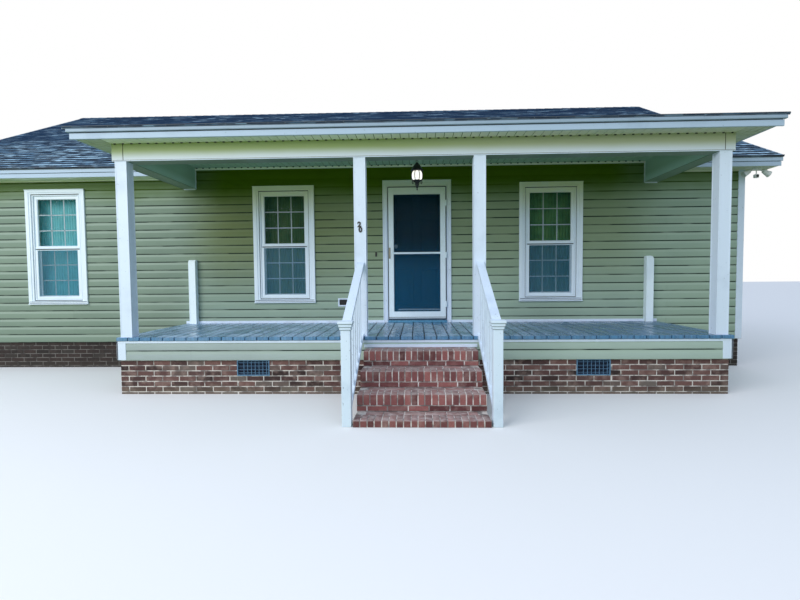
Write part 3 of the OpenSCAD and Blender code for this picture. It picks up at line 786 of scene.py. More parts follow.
def courses_tree():
    """Lays one block over and over, in level courses inside a rectangle.

    Courses count up from base, and blocks count along from anchor. Every other course moves
    by stagger, and its ends step back by their teeth. Above spring, rake draws the ends in.
    Ragged shifts each joint by chance."""
    group = bpy.data.node_groups.new("courses", "GeometryNodeTree")
    for name, kind in (("Geometry", "Geometry"), ("block", "Object"), ("finish", "Material"),
                       *((size, "Float") for size in SIZES)):
        group.interface.new_socket(name, in_out="INPUT", socket_type="NodeSocket" + kind)
    group.interface.new_socket("Geometry", in_out="OUTPUT", socket_type="NodeSocketGeometry")
    tree = Tree(group)
    given = tree.node("NodeGroupInput")

    def chance(item, offset=0.0):
        return tree.node("FunctionNodeRandomValue", {"data_type": "FLOAT"},
                         {"ID": item, "Seed": given["seed"] + offset})[1]

    def vector(x, y, z):
        return tree.node("ShaderNodeCombineXYZ", values={"X": x, "Y": y, "Z": z})[0]

    module, course, low, high = (given[n] for n in ("module", "course", "low", "high"))
    columns = ((given["end"] - given["start"]) / module).ceil() + 3.0
    rows = ((high - low) / course).ceil() + 1.0
    index = tree.node("GeometryNodeInputIndex")[0]
    row_here = ((index + 0.5) / columns).floor()
    column = index - row_here * columns + ((given["start"] - given["anchor"]) / module).floor()
    row = row_here + ((low - given["base"]) / course + 0.001).floor()
    odd = (row + given["parity"]) % 2.0
    own = row * 613.0 + column
    shifts = [chance(own + k, 5.0) * given["ragged"] for k in (0.0, 1.0)]
    start = (given["anchor"] + (column - 2.0) * module + given["stagger"] * module * odd
             + given["scatter"] * chance(row, 7.0))
    z0 = given["base"] + row * course
    x1 = start + module - given["joint"] + shifts[1]
    top, bottom = (z0 + course - given["bed"]).least(high), z0.most(low)
    drawn = (top - given["spring"]) * given["rake"]
    left = (start + shifts[0]).most(given["start"] + given["left_tooth"] * odd).most(drawn)
    right = x1.least(given["end"] - given["right_tooth"] * odd).least(given["span"] - drawn)
    kept = (right - left > given["least"]) * (top - bottom > given["least"])
    points = tree.node("GeometryNodePoints", values={
        "Count": columns * rows,
        "Position": vector(left, chance(own, 3.0) * given["wobble"], bottom)})
    toned = tree.node("GeometryNodeStoreNamedAttribute",
                      {"data_type": "FLOAT", "domain": "POINT"},
                      {"Geometry": points[0], "Name": "tone", "Value": chance(own)})
    block = tree.node("GeometryNodeObjectInfo", values={"Object": given["block"]})["Geometry"]
    laid = tree.node("GeometryNodeInstanceOnPoints", values={
        "Points": toned[0], "Selection": kept, "Instance": block,
        "Scale": vector(right - left, 1.0, top - bottom)})
    real = tree.node("GeometryNodeRealizeInstances", values={"Geometry": laid[0]})
    done = tree.node("GeometryNodeSetMaterial", values={
        "Geometry": real[0], "Material": given["finish"]})
    tree.node("NodeGroupOutput", values={"Geometry": done[0]})
    return group


COURSES = courses_tree()


def lay(shape, block, finish, **sizes):
    """Lays courses of a block into a shape."""
    carrier = put("carrier", bpy.data.meshes.new("carrier"))
    modifier = carrier.modifiers.new("courses", "NODES")
    modifier.node_group = COURSES
    values = {**SIZES, **sizes, "block": block, "finish": finish}
    for socket in COURSES.interface.items_tree:
        if socket.in_out == "INPUT" and socket.name in values:
            modifier[socket.identifier] = values[socket.name]
    shape.take(solid_mesh(carrier), finish)


blocks = []


def block_object(points, faces):
    """A block for the courses, one unit long and one high."""
    mesh = bpy.data.meshes.new("block")
    mesh.from_pydata(points, [], faces)
    outwards(mesh)
    blocks.append(put("block", mesh))
    return blocks[-1]


def eased_block(length, depth, height, ease):
    """A block of these sizes with eased edges, before it is drawn to its place."""
    return block_object(*eased_box((0, 0, 0), (1, depth, 1),
                                   (ease / length, ease, ease / height)))


def profile_block(outline):
    """A block whose outline of (outwards, upwards) points runs the length of it."""
    strip = Shape()
    strip.along_x(0, 1, [(-out, up) for out, up in outline], None)
    return block_object(strip.points, strip.faces)


def panels(x0, x1, z0, z1, holes=()):
    """The rectangles left of a face beside, under and over its holes."""
    cuts = sorted({x0, x1, *(x for hole in holes for x in hole[:2] if x0 < x < x1)})
    for a, b in zip(cuts, cuts[1:]):
        low = z0
        for hole in sorted((h for h in holes if h[0] < (a + b) / 2 < h[1]), key=lambda h: h[2]):
            if hole[2] > low:
                yield a, b, low, hole[2]
            low = max(low, hole[3])
        if low < z1:
            yield a, b, low, z1


# Brickwork

BRICK_L, BRICK_H, JOINT = 0.208, 0.0646, 0.010
BRICK = eased_block(BRICK_L, 0.092, BRICK_H, 0.003)
BRICK_FACE, BRICK_IN, PORCH_BRICK = 0.0035, 0.012, 3.64
PORCH_VENTS, BACK_VENTS = [-2.0, 2.076], [-3.2, 3.2]
VENT_HALF, VENT_LOW, VENT_HIGH = 0.2, 0.222, 0.417


def brick_face(shape, length, seed, holes=(), parity=0.0, core=0.19, corners=(True, True)):
    """A brick face from local X = 0 to length, with the mortar behind its joints.

    At a corner every other course steps back for the bricks of the next face."""
    module = (length + JOINT) / round((length + JOINT) / BRICK_L)
    for x0, x1, z0, z1 in panels(0, length, 0, BRICK_TOP, holes):
        left, right = x0 == 0 and corners[0], x1 == length and corners[1]
        shape.block((x0 + 0.006 * left, BRICK_FACE, z0),
                    (x1 - 0.006 * right, core, z1), MORTAR, 0.0005)
        lay(shape, BRICK, WALL_CLAY, start=x0, end=x1, low=z0, high=z1, module=module,
            course=BRICK_H, joint=JOINT, bed=JOINT, base=BRICK_TOP - 7 * BRICK_H, stagger=0.5,
            parity=parity, wobble=0.002, seed=seed, least=0.015, left_tooth=0.1 * left,
            right_tooth=0.1 * right)


def vent_holes(places, origin):
    return [(x - origin - VENT_HALF, x - origin + VENT_HALF, VENT_LOW, VENT_HIGH)
            for x in places]


def brickwork():
    side, near, far = END - BRICK_IN, WALL + BRICK_IN, BACK - BRICK_IN
    front = Shape(facing(-side, near))
    brick_face(front, 2 * side, 11.0)
    front.piece("front_brickwork", "brick", "front_foundation")
    back = Shape(facing(side, far, 180))
    brick_face(back, 2 * side, 12.0, vent_holes(BACK_VENTS, -side))
    back.piece("back_brickwork", "brick", "back_foundation")
    ends = Shape()
    for x, y, turn in ((side, near, 90), (-side, far, -90)):
        ends.at = facing(x, y, turn)
        brick_face(ends, DEPTH - 2 * BRICK_IN, 13.0 + turn, parity=1.0)
    ends.piece("side_brickwork", "brick", "side_foundations")
    porch = Shape(facing(PORCH - PORCH_BRICK, PORCH_FACE))
    brick_face(porch, 2 * PORCH_BRICK, 15.0, vent_holes(PORCH_VENTS, -PORCH_BRICK))
    for x, y, turn in ((PORCH_BRICK, PORCH_FACE, 90), (-PORCH_BRICK, near, -90)):
        porch.at = facing(PORCH + x, y, turn)
        brick_face(porch, near - PORCH_FACE, 16.0 + turn, parity=1.0, core=0.15,
                   corners=(turn > 0, turn < 0))
    porch.piece("porch_brickwork", "brick", "porch_foundation")


STEP_W, STEP_RUN, ROWLOCK_W, ROWLOCK_L = 1.3, 0.322, 0.0685, 0.213
ROWLOCK = eased_block(ROWLOCK_W, 0.203, 0.105, 0.004)
STRETCHER = eased_block(BRICK_L, 0.1, 0.06, 0.003)
PAVER = eased_block(BRICK_L, 0.055, 0.06, 0.003)


def brick_step(k, node):
    """A step with a nosing of bricks on edge over one course laid flat."""
    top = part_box(node)[1].z
    front = PORCH_FRONT - (4 - k) * STEP_RUN
    low, nosing = max(0.0, top - RISER), max(0.0, top - 0.108)
    left, deep = GATE - STEP_W / 2, PORCH_FRONT - front
    step = Shape(facing(left, front))
    step.block((0.003, 0.015, low), (STEP_W - 0.003, deep, top - 0.005), MORTAR, 0.001)
    step.block((0.002, 0.0035, nosing), (STEP_W - 0.002, 0.21, top - 0.0035), MORTAR, 0.001)
    lay(step, ROWLOCK, STEP_CLAY, end=STEP_W, low=nosing, high=top, module=ROWLOCK_W,
        course=top - nosing, base=nosing, joint=0.0085, wobble=0.002, ragged=0.004,
        seed=21.0 + k)
    if low < nosing:
        step.at = facing(left, front + 0.012)
        lay(step, STRETCHER, STEP_CLAY, end=STEP_W, low=low, high=nosing - JOINT,
            module=BRICK_L, course=nosing - JOINT - low, base=low, joint=JOINT,
            anchor=0.105 * (k % 2), wobble=0.003, seed=31.0 + k)
    step.at = sloping(left, front + ROWLOCK_L, top)
    tread = 0.11 if k < 3 else 0.10
    lay(step, PAVER, STEP_CLAY, start=0.1, end=STEP_W - 0.1, high=tread, module=BRICK_L,
        course=tread, joint=JOINT, anchor=0.07, wobble=0.003, seed=41.0 + k)
    for x, y, turn in ((left + STEP_W, front + ROWLOCK_L, 90), (left, PORCH_FRONT, -90)):
        step.at = facing(x, y, turn)
        lay(step, STRETCHER, STEP_CLAY, end=deep - ROWLOCK_L, low=low, high=top,
            module=BRICK_L, course=RISER / 3, base=top - RISER, joint=JOINT, bed=0.008,
            stagger=0.5, wobble=0.002, seed=51.0 + k)
    step.piece(node + "_bricks", "brick", node)


def steps():
    for k, node in enumerate(("bottom_step", "second_step", "third_step", "top_step")):
        brick_step(k, node)


def crawl_vents():
    """Cast vents: a frame, upright bars and louvres in front of a dark screen."""
    grilles = Shape()
    bar = eased_block(0.006, 0.008, 0.16, 0.001)
    wire = eased_block(0.37, 0.004, 0.004, 0.0008)
    louvre = profile_block([(0.006, 0.0), (0.009, 0.08), (-0.012, 0.75), (-0.014, 0.65)])
    opening = {"low": 0.236, "high": 0.403}
    shelves = {"end": 0.372, "module": 2.0, "course": 0.0418, "anchor": -1.0, **opening}
    places = [facing(PORCH + x, PORCH_FACE) for x in PORCH_VENTS]
    places += [facing(x, BACK - BRICK_IN, 180) for x in BACK_VENTS]
    for place in places:
        grilles.at = place
        grilles.ring(-VENT_HALF, VENT_HALF, VENT_LOW, VENT_HIGH, [
            (0, -0.05), (0, 0.001), (0.003, 0.004), (0.011, 0.004), (0.014, 0), (0.014, -0.05)],
            VENT_METAL)
        grilles.block((-0.19, 0.045, 0.23), (0.19, 0.05, 0.41), DARK, 0.0005)
        grilles.at = place @ Matrix.Translation((-0.186, 0.018, 0))
        lay(grilles, louvre, LOUVRE_METAL, base=0.236, least=0.01, **shelves)
        grilles.at = place @ Matrix.Translation((-0.186, 0.004, 0))
        lay(grilles, bar, VENT_METAL, start=0.03, end=0.36, module=0.0465, course=0.2,
            base=0.236, joint=0.0405, anchor=0.0202, least=0.004, **opening)
        lay(grilles, wire, VENT_METAL, bed=0.0378, base=0.2155, least=0.003, **shelves)
    grilles.piece("crawl_vent_grilles", "vent_metal", "crawl_vents")


# Siding

LAP_L = 3.66
LAP_BOARD = profile_block([
    (0.002, 0), (0.011, -0.032), (0.0135, -0.032), (0.014, 0), (0.0125, 0.55),
    (0.0105, 0.615), (0.0045, 1), (0, 1), (0, 0.01)])
LAPS = {"module": LAP_L, "course": SIDING_COURSE, "joint": 0.0012, "base": SIDING_BASE,
        "least": 0.004}
CORNER_BOARD, SKIRT_HALF = 0.074, 3.65
PORCH_WALL_TOP, GABLE_FOOT, GABLE_TOP = 3.141, 3.252, 5.37


def clad(name, place, spans, holes, **sizes):
    """Laps of siding over a wall, from span to span in (x0, x1, low, high)."""
    work = Shape(place)
    for span in spans:
        for a, b, z0, z1 in panels(*span, holes):
            lay(work, LAP_BOARD, SIDING, start=a, end=b, low=z0, high=z1, anchor=0.7,
                stagger=0.45, spring=GABLE_FOOT, **LAPS, **sizes)
    work.piece(name, "siding")


def window_hole(x):
    half = WINDOW_W / 2 - 0.004
    return x - half, x + half, WINDOW_LOW + 0.004, WINDOW_HIGH - 0.004


def siding():
    width, door, mail = 2 * END, END + PORCH, END + MAIL_SLOT
    clad("siding_front", facing(-END, WALL), [
        (CORNER_BOARD, door - SKIRT_HALF, SIDING_BASE, SOFFIT),
        (door - SKIRT_HALF, door + SKIRT_HALF, DECK, PORCH_WALL_TOP),
        (door + SKIRT_HALF, width - CORNER_BOARD, SIDING_BASE, SOFFIT)], [
        *(window_hole(END + x) for x in WINDOWS),
        (door - 0.526, door + 0.526, 0, DOOR_TOP - 0.004),
        (mail - 0.08, mail + 0.08, 0.96, 1.08)], seed=61.0)
    clad("siding_back", facing(END, BACK, 180), [
        (CORNER_BOARD, width - CORNER_BOARD, SIDING_BASE, SOFFIT)],
        [window_hole(END + x) for x in BACK_WINDOWS], seed=62.0)
    for name, x, y, turn, seed in (("siding_right", END, WALL, 90, 63.0),
                                   ("siding_left", -END, BACK, -90, 64.0)):
        clad(name, facing(x, y, turn), [
            (CORNER_BOARD, DEPTH - CORNER_BOARD, SIDING_BASE, GABLE_TOP)],
            [window_hole(DEPTH / 2)], seed=seed, rake=1 / MAIN_PITCH, span=DEPTH)


def porch_skirt():
    skirt = Shape()
    foot = DECK - 0.045
    for x, y, turn, length in ((-SKIRT_HALF, PORCH_FRONT, 0, 2 * SKIRT_HALF),
                               (SKIRT_HALF, PORCH_FRONT, 90, PORCH_DEPTH),
                               (-SKIRT_HALF, WALL, -90, PORCH_DEPTH)):
        skirt.at = facing(PORCH + x, y, turn)
        lay(skirt, LAP_BOARD, SIDING, start=0.03, end=length - 0.03, low=BRICK_TOP + 0.003,
            high=foot, anchor=0.9, seed=65.0, **LAPS)
        skirt.block((-0.018, -0.018, DECK - 0.073), (length + 0.018, 0, DECK - 0.044), TRIM)
    for side in (-1, 1):
        skirt.at = facing(PORCH + side * 3.61, PORCH_FRONT)
        skirt.block((-0.055, -0.017, BRICK_TOP + 0.002), (0.055, 0.0, foot), TRIM)
        skirt.at = facing(PORCH + side * SKIRT_HALF, PORCH_FRONT, side * 90)
        edge = -0.017 if side > 0 else -0.083
        skirt.block((edge, -0.017, BRICK_TOP + 0.002), (edge + 0.1, 0, foot), TRIM)
    skirt.at = facing(GATE, PORCH_FRONT)
    skirt.block((-0.672, -0.035, 0.571), (0.672, 0, 0.606), TRIM)
    skirt.piece("porch_skirt_siding", "siding")


def base_strips():
    """The white strip that covers the foot of the siding along the deck."""
    strip = Shape(facing(PORCH, WALL, z=DECK))
    for x0, x1 in ((-3.676, -0.531), (0.531, 3.676)):
        strip.along_x(x0, x1, [(0, 0), (-0.02, 0), (-0.02, 0.03), (-0.014, 0.038), (0, 0.038)],
                      TRIM)
    strip.piece("deck_base_strips", "trim")


# Roofs

PORCH_ROOF_HALF, PORCH_SOFFIT_HALF = 3.97, 3.96
TAB = profile_block([(-0.006, 0), (-0.0145, 0), (-0.0150, 1), (-0.0138, 1)])


def shingle_slope(shape, grit, width, length, spans, boards, seed):
    """Courses of tabs over roof boards. Spans and boards are (x0, x1, low, high)."""
    for x0, x1, low, high in spans:
        lay(shape, TAB, grit, start=x0, end=x1, low=low, high=high, module=TAB_L,
            course=TAB_COURSE, joint=0.01, stagger=0.5, scatter=0.09, wobble=0.004,
            ragged=0.11, least=0.01, seed=seed)
    for x0, x1, low, high in boards:
        shape.block((x0 + 0.004, 0.0165, low + 0.004), (x1 - 0.004, 0.026, high), grit, 0.001)
        if low == 0:
            shape.along_x(x0 + 0.002, x1 - 0.002, [
                (0.0, 0.0), (0.0, 0.008), (0.014, 0.010), (0.032, 0.010), (0.032, 0.006),
                (0.004, 0.0)], DRIP_EDGE)
    for side in (0.0, width - 0.003):
        shape.along_z(0.002, length, [(side, 0.006), (side + 0.003, 0.006),
                                      (side + 0.003, 0.030), (side, 0.030)], FASCIA)


def ridge_caps():
    """Caps folded over the ridge, each a little lower at the end that the next one covers."""
    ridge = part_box("roof_front")[1]
    caps = Shape(Matrix.Translation((-ridge.x, MIDDLE, ridge.z)))
    slope = math.atan(MAIN_PITCH)
    run, drop = 0.13 * math.cos(slope), 0.13 * math.sin(slope)
    count = int(2 * ridge.x / 0.2)
    length = 2 * ridge.x / count
    for k in range(count):
        caps.loft([[(x, -run, z - drop), (x, 0, z), (x, run, z - drop),
                    (x, run, z - drop - 0.007), (x, 0, z - 0.008), (x, -run, z - drop - 0.007)]
                   for x, z in ((k * length, 0.0), ((k + 1) * length - 0.002, -0.006))],
                  GRIT, (k * 37 % 17) / 17)
    caps.piece("ridge_caps", "shingle")


def roofs():
    low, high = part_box("roof_front")
    width, slope = 2 * high.x, math.hypot(1, MAIN_PITCH)
    length = (high.y - low.y) * slope
    door = high.x + PORCH
    wall = (WALL - low.y + 0.02) * slope
    valley = math.floor((WALL + 1.55 - low.y) * slope / TAB_COURSE) * TAB_COURSE
    front = Shape(sloping(-high.x, low.y, EAVE, MAIN_PITCH))
    shingle_slope(front, GRIT, width, length, [
        (0, door - PORCH_ROOF_HALF, 0, valley), (door + PORCH_ROOF_HALF, width, 0, valley),
        (0, width, valley, length - 0.01)], [
        (0, door - BEAM_HALF, 0, wall), (door + BEAM_HALF, width, 0, wall),
        (0, width, wall, length)], 71.0)
    front.piece("front_shingles", "shingle", "roof_front")
    back = Shape(facing(0, MIDDLE, 180) @ sloping(-high.x, low.y - MIDDLE, EAVE, MAIN_PITCH))
    whole = [(0, width, 0, length - 0.01)]
    shingle_slope(back, GRIT, width, length, whole, whole, 72.0)
    back.piece("back_shingles", "shingle", "roof_back")
    ridge_caps()
    low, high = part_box("porch_roof")
    porch = Shape(sloping(low.x, low.y, PORCH_EAVE, PORCH_PITCH))
    width, length = high.x - low.x, (high.y - low.y) * math.hypot(1, PORCH_PITCH)
    whole = [(0, width, 0, length - 0.005)]
    shingle_slope(porch, PORCH_GRIT, width, length, whole, whole, 73.0)
    porch.piece("porch_shingles", "shingle", "porch_roof")


# Eaves, soffits and the porch ceiling

GROOVE, GROOVE_W = 0.1017, 0.024
SLAT = profile_block([(0, 0), (0, 0.01), (-0.007, 0.045), (-0.007, 0.095), (0, 0.13), (0, 1),
                      (-0.010, 1), (-0.010, 0)])
GROOVE_FLOOR = profile_block([(-0.0058, 0.03), (-0.0058, 0.11), (-0.009, 0.11), (-0.009, 0.03)])
GROOVE_END = eased_block(GROOVE_W, 0.010, 0.013, 0.001)


def grooved(shape, x0, x1, y0, y1, z, across=False, finish=SOFFIT_VINYL):
    """A level lining of grooved strips seen from below, with strips that run along Y, or X."""
    kept, length, width = shape.at, y1 - y0, x1 - x0
    shape.at = axes((x0, y0, z), (0, 1, 0), (0, 0, 1), (1, 0, 0))
    if across:
        shape.at = axes((x1, y0, z), (-1, 0, 0), (0, 0, 1), (0, 1, 0))
        length, width = width, length
    strips = {"high": width, "module": 50.0, "anchor": -25.0, "course": GROOVE}
    lay(shape, SLAT, finish, end=length, least=0.005, **strips)
    lay(shape, GROOVE_FLOOR, GROOVE_SHADE, start=0.004, end=length - 0.004, least=0.09, **strips)
    shape.at = kept


def groove_ends(shape, x0, x1, y, z):
    """The small openings where each groove of a lining ends in its channel, painted dark as their
    shade.
    """
    shape.at = Matrix.Translation((x0, y, z - 0.011))
    # Painted shade: dark blocks at the groove ends.
    lay(shape, GROOVE_END, DARK, end=x1 - x0, high=0.013, module=GROOVE,
        joint=GROOVE - GROOVE_W, course=1.0, least=0.004)
    shape.at = Matrix()


def backing(shape, x0, x1, y0, y1, z, finish=SOFFIT_VINYL):
    """The sheet over the grooved strips."""
    shape.block((x0, y0, z + 0.008), (x1, y1, z + 0.012), finish, 0.001)


def fascia(shape, x0, x1):
    """A fascia in two tiers, the upper one longer, with a groove between them painted dark as
    shade.
    """
    kept = shape.at
    shape.at = kept @ Matrix.Translation((0, -0.3, 2.972))
    shape.along_x(x0, x1, [(0.02, 0), (0.010, 0), (0.008, 0.002), (0.008, 0.0605),
                           (0.012, 0.0645), (0.02, 0.0645)], FASCIA)
    # Painted shade: a dark strip in the groove between the tiers.
    shape.along_x(x0 + 0.01, x1 - 0.01, [
        (0.02, 0.0635), (0.011, 0.0635), (0.011, 0.0705), (0.02, 0.0705)], DARK)
    reach = [x + math.copysign(0.018, x) if abs(x) > END else x for x in (x0, x1)]
    shape.along_x(*reach, [(0.02, 0.0695), (0.003, 0.0695), (0, 0.0725), (0, 0.127),
                           (0.002, 0.129), (0.02, 0.129)], FASCIA)
    shape.at = kept


def eaves():
    half, deep = END + 0.345, 0.28
    for name, node, y, turn, spans in (
            ("front_eave_trim", "front_eaves", WALL, 0, [
                (-half, PORCH - BEAM_HALF), (PORCH + BEAM_HALF, half)]),
            ("back_eave_trim", "back_eave", BACK, 180, [(-half, half)])):
        eave = Shape(facing(0, y, turn))
        for x0, x1 in spans:
            outer = y if turn else y - deep
            grooved(eave, x0, x1, outer, outer + deep, SOFFIT)
            fascia(eave, x0, x1)
            eave.block((x0, -0.018, SOFFIT - 0.016), (x1, 0, SOFFIT), SOFFIT_VINYL, 0.003)
            backing(eave, x0, x1, -deep, 0.0, SOFFIT)
        eave.piece(name, "trim", node)
    eased("rakes", TRIM, 0.004, "rake_boxes")
    eased("corner_boards", TRIM, 0.003, "corner_trim")


def porch_eaves():
    outer = PORCH_FRONT - 0.22
    front = Shape(facing(PORCH, PORCH_FRONT - 0.24, z=3.02))
    front.along_x(-3.99, 4.015, [(0.02, 0), (0.003, 0), (0, 0.003), (0, 0.064), (0.006, 0.070),
                                 (0.02, 0.070)], FASCIA)
    # Painted shade: a dark strip in the groove between the fascia and the crown.
    front.along_x(-3.98, 4.0, [(0.02, 0.069), (0.004, 0.069), (0.004, 0.078), (0.02, 0.078)],
                  DARK)
    front.along_x(-4.02, 4.037, [(0.02, 0.077), (-0.014, 0.077), (-0.02, 0.082), (-0.02, 0.110),
                                 (-0.017, 0.114), (0.02, 0.116)], CROWN)
    for x0, x1, finish in ((-PORCH_SOFFIT_HALF, -BEAM_HALF, SHADED_SIDE_SOFFIT),
                           (-BEAM_HALF, BEAM_HALF, SOFFIT_VINYL),
                           (BEAM_HALF, PORCH_SOFFIT_HALF, SHADED_SIDE_SOFFIT)):
        grooved(front, PORCH + x0, PORCH + x1, outer, PORCH_FRONT, PORCH_SOFFIT, finish=finish)
    front.at = Matrix()
    backing(front, PORCH - PORCH_SOFFIT_HALF, PORCH + PORCH_SOFFIT_HALF, outer, PORCH_FRONT,
            PORCH_SOFFIT)
    groove_ends(front, PORCH - 3.62, PORCH + 3.62, PORCH_FRONT - 0.012, PORCH_SOFFIT)
    front.piece("porch_front_trim", "trim", "porch_front_eave")
    sides = Shape()
    for side in (-1, 1):
        x0, x1 = sorted((PORCH + side * BEAM_HALF, PORCH + side * 3.94))
        grooved(sides, x0, x1, PORCH_FRONT, WALL - 0.3, PORCH_SOFFIT, across=True,
                finish=SHADED_SIDE_SOFFIT)
        backing(sides, x0, x1, PORCH_FRONT, WALL - 0.3, PORCH_SOFFIT)
        edge, foot = PORCH + side * 3.95, PORCH_SOFFIT - 0.002
        sides.along_x(edge - 0.01, edge + 0.01, [
            (outer, foot), (WALL - 0.33, foot), (WALL - 0.33, EAVE), (WALL + 1.3, 3.94),
            (outer, 3.138)], FASCIA)
    sides.piece("porch_side_trim", "trim", "porch_side_eaves")


def porch_ceiling():
    lining = Shape()
    x0, x1 = PORCH - BEAM_HALF + BEAM_T, PORCH + BEAM_HALF - BEAM_T
    y0, z = PORCH_FRONT + BEAM_T, PORCH_CEILING
    grooved(lining, x0, x1, y0, WALL, z, finish=SHADED_CEILING_VINYL)
    backing(lining, x0, x1, y0, WALL, z, SHADED_CEILING_VINYL)
    lining.block((x0, WALL - 0.03, z - 0.034), (x1, WALL, z - 0.004), SOFFIT_VINYL, 0.003)
    groove_ends(lining, x0 + 0.02, x1, WALL - 0.036, z - 0.002)
    lining.piece("porch_ceiling_lining", "trim", "porch_ceiling")


def beams():
    """The folded metal over the beams, in lengths that meet at dark seams."""
    outer, inner = 3.196 - BEAM_LOW, 3.236 - BEAM_LOW
    left, right, seam = -3.521, 3.545, 0.009
    front = Shape(facing(PORCH, PORCH_FRONT, z=BEAM_LOW))
    for x0, x1 in ((-BEAM_HALF, left), (left + seam, right - seam), (right, BEAM_HALF)):
        front.along_x(x0, x1, [(0, 0), (BEAM_T, 0), (BEAM_T, inner), (0, outer)], BEAM)
    front.along_x(-BEAM_HALF + 0.002, BEAM_HALF - 0.002, [
        (0.01, 0.001), (-0.003, 0.001), (-0.004, 0.004), (-0.003, 0.010), (0.01, 0.011)], TRIM)
    # Painted shadow: a dark line along the header's foot, just above its bead.
    front.along_x(-BEAM_HALF + 0.004, BEAM_HALF - 0.004, [
        (0.01, 0.010), (-0.0008, 0.010), (-0.0008, 0.015), (0.01, 0.015)], SEAM)
    for x in (left, right - seam):
        front.along_x(x, x + seam, [
            (0.003, 0.003), (BEAM_T, 0.003), (BEAM_T, inner), (0.003, outer)], SEAM)
    front.piece("header_wrap", "trim", "front_beam")
    sides = Shape(facing(PORCH, WALL, z=BEAM_LOW))
    start = BEAM_T - PORCH_DEPTH
    for side in (-1, 1):
        x0, x1 = sorted((side * BEAM_HALF, side * (BEAM_HALF - BEAM_T)))
        sides.along_x(x0, x1, [(start, 0), (0, 0), (0, 3.606 - BEAM_LOW), (start, inner)],
                      LIT_SIDE_BEAM)
        for x in (x0, x1):
            sides.block((x - 0.008, start, -0.004), (x + 0.008, 0, 0.016), LIT_SIDE_BEAM)
            sides.block((x - 0.014, -0.02, -0.004), (x + 0.014, 0, PORCH_CEILING - BEAM_LOW - 0.01),
                        TRIM)
        sides.block((x0, -0.022, -0.016), (x1, 0, 0.01), TRIM)
    sides.piece("side_beam_wraps", "trim", "side_beams")


# Porch floor and woodwork

def deck():
    """Boards that run to the front edge, where gaps part their rounded ends; a dark block under
    them paints the gaps dark as shade.
    """
    x0, y0, z0 = DECK_LOW
    boards = Shape(sloping(x0, y0, DECK))
    lay(boards, eased_block(0.139, 0.042, PORCH_DEPTH, 0.004), DECK_PAINT,
        end=DECK_HIGH.x - x0, high=DECK_HIGH.y - y0, module=DECK_BOARD, course=5.0,
        joint=0.0075, anchor=DECK_ANCHOR, wobble=0.0015, seed=81.0)
    # Painted shade: a dark block under the boards, seen through the gaps.
    boards.at = Matrix()
    boards.block((x0 + 0.02, y0 + 0.03, z0), (DECK_HIGH.x - 0.02, DECK_HIGH.y, DECK - 0.02),
                 DARK, 0.001)
    boards.piece("deck_boards", "deck_paint", "porch_deck")


def columns():
    """Square columns with a raised bead along each corner."""
    posts = Shape()
    half, bead, sunk = 0.071, 0.013, 0.0025
    quarter = [(half, -half), (half, -half + bead), (half - sunk, -half + bead + 0.002),
               (half - sunk, half - bead - 0.002), (half, half - bead)]
    outline = [(c * x - s * y, s * x + c * y)
               for c, s in ((1, 0), (0, 1), (-1, 0), (0, -1)) for x, y in quarter]
    for x in (PORCH - 3.55, GATE - 0.708, GATE + 0.708, PORCH + 3.55):
        posts.at = Matrix.Translation((x, PORCH_FRONT + half, 0))
        posts.along_z(DECK, BEAM_LOW, outline, TRIM)
    posts.piece("porch_column_wraps", "trim", "porch_columns")


def half_posts():
    """What stands of the railing's end posts: a beaded post with a sloping, weathered top."""
    posts = Shape()
    outline = [(-0.054, 0), (-0.054, -0.1), (-0.041, -0.1), (-0.039, -0.0975), (0.039, -0.0975),
               (0.041, -0.1), (0.054, -0.1), (0.054, 0)]
    arch = [math.radians(angle) for angle in range(-90, 91, 20)]
    tops = {-1: [(-0.0535, 0), (0.0535, 0)],
            1: [(0.0535 * math.sin(a), 0.018 * (1 - math.cos(a))) for a in arch]}
    for side, top in tops.items():
        posts.at = facing(PORCH + side * 3.529, WALL, z=DECK)
        posts.along_z(0, 0.955, outline, LIT_POST_PAINT)
        posts.loft([[(x, -0.0995, 0.955), (x, -0.0995, 0.974 - dip), (x, -0.098, 0.976 - dip),
                     (x, -0.072, 1.002 - dip), (x, 0, 1.003 - dip), (x, 0, 0.955)]
                    for x, dip in top], LIT_POST_PAINT)
    posts.piece("half_posts_painted", "trim", "half_posts")


def woodwork():
    half_posts()
    eased("newel_posts", NEWEL_PAINT, 0.004, "newels_painted")
    eased("step_rails", RAIL_PAINT, 0.004, "step_rails_painted")


# Windows

CASING = [(0, 0), (0, 0.034), (0.06, 0.038), (0.62, 0.034), (0.64, 0.024), (0.68, 0.024),
          (0.70, 0.028), (0.96, 0.026), (1, 0.020), (1, 0)]
JAMB = [(0.008, 0.012), (0.010, 0.015), (0.022, 0.013), (0.025, 0.010), (0.025, -0.1),
        (0.008, -0.1)]
SLOT = [(-0.001, 0.004), (0.009, 0.004), (0.009, -0.1), (-0.001, -0.1)]
SASH = [(0, -0.035), (0, 0), (0.044, 0), (0.05, -0.004), (0.055, -0.012), (0.055, -0.024),
        (0.05, -0.03), (0.044, -0.035)]
SASH_BAR = [(-0.0075, 0.022), (-0.005, 0.027), (0.005, 0.027), (0.0075, 0.022)]
SCREEN_FRAME = [(0, -0.004), (0, 0.004), (0.003, 0.006), (0.036, 0.006), (0.040, 0.003),
                (0.040, -0.004)]


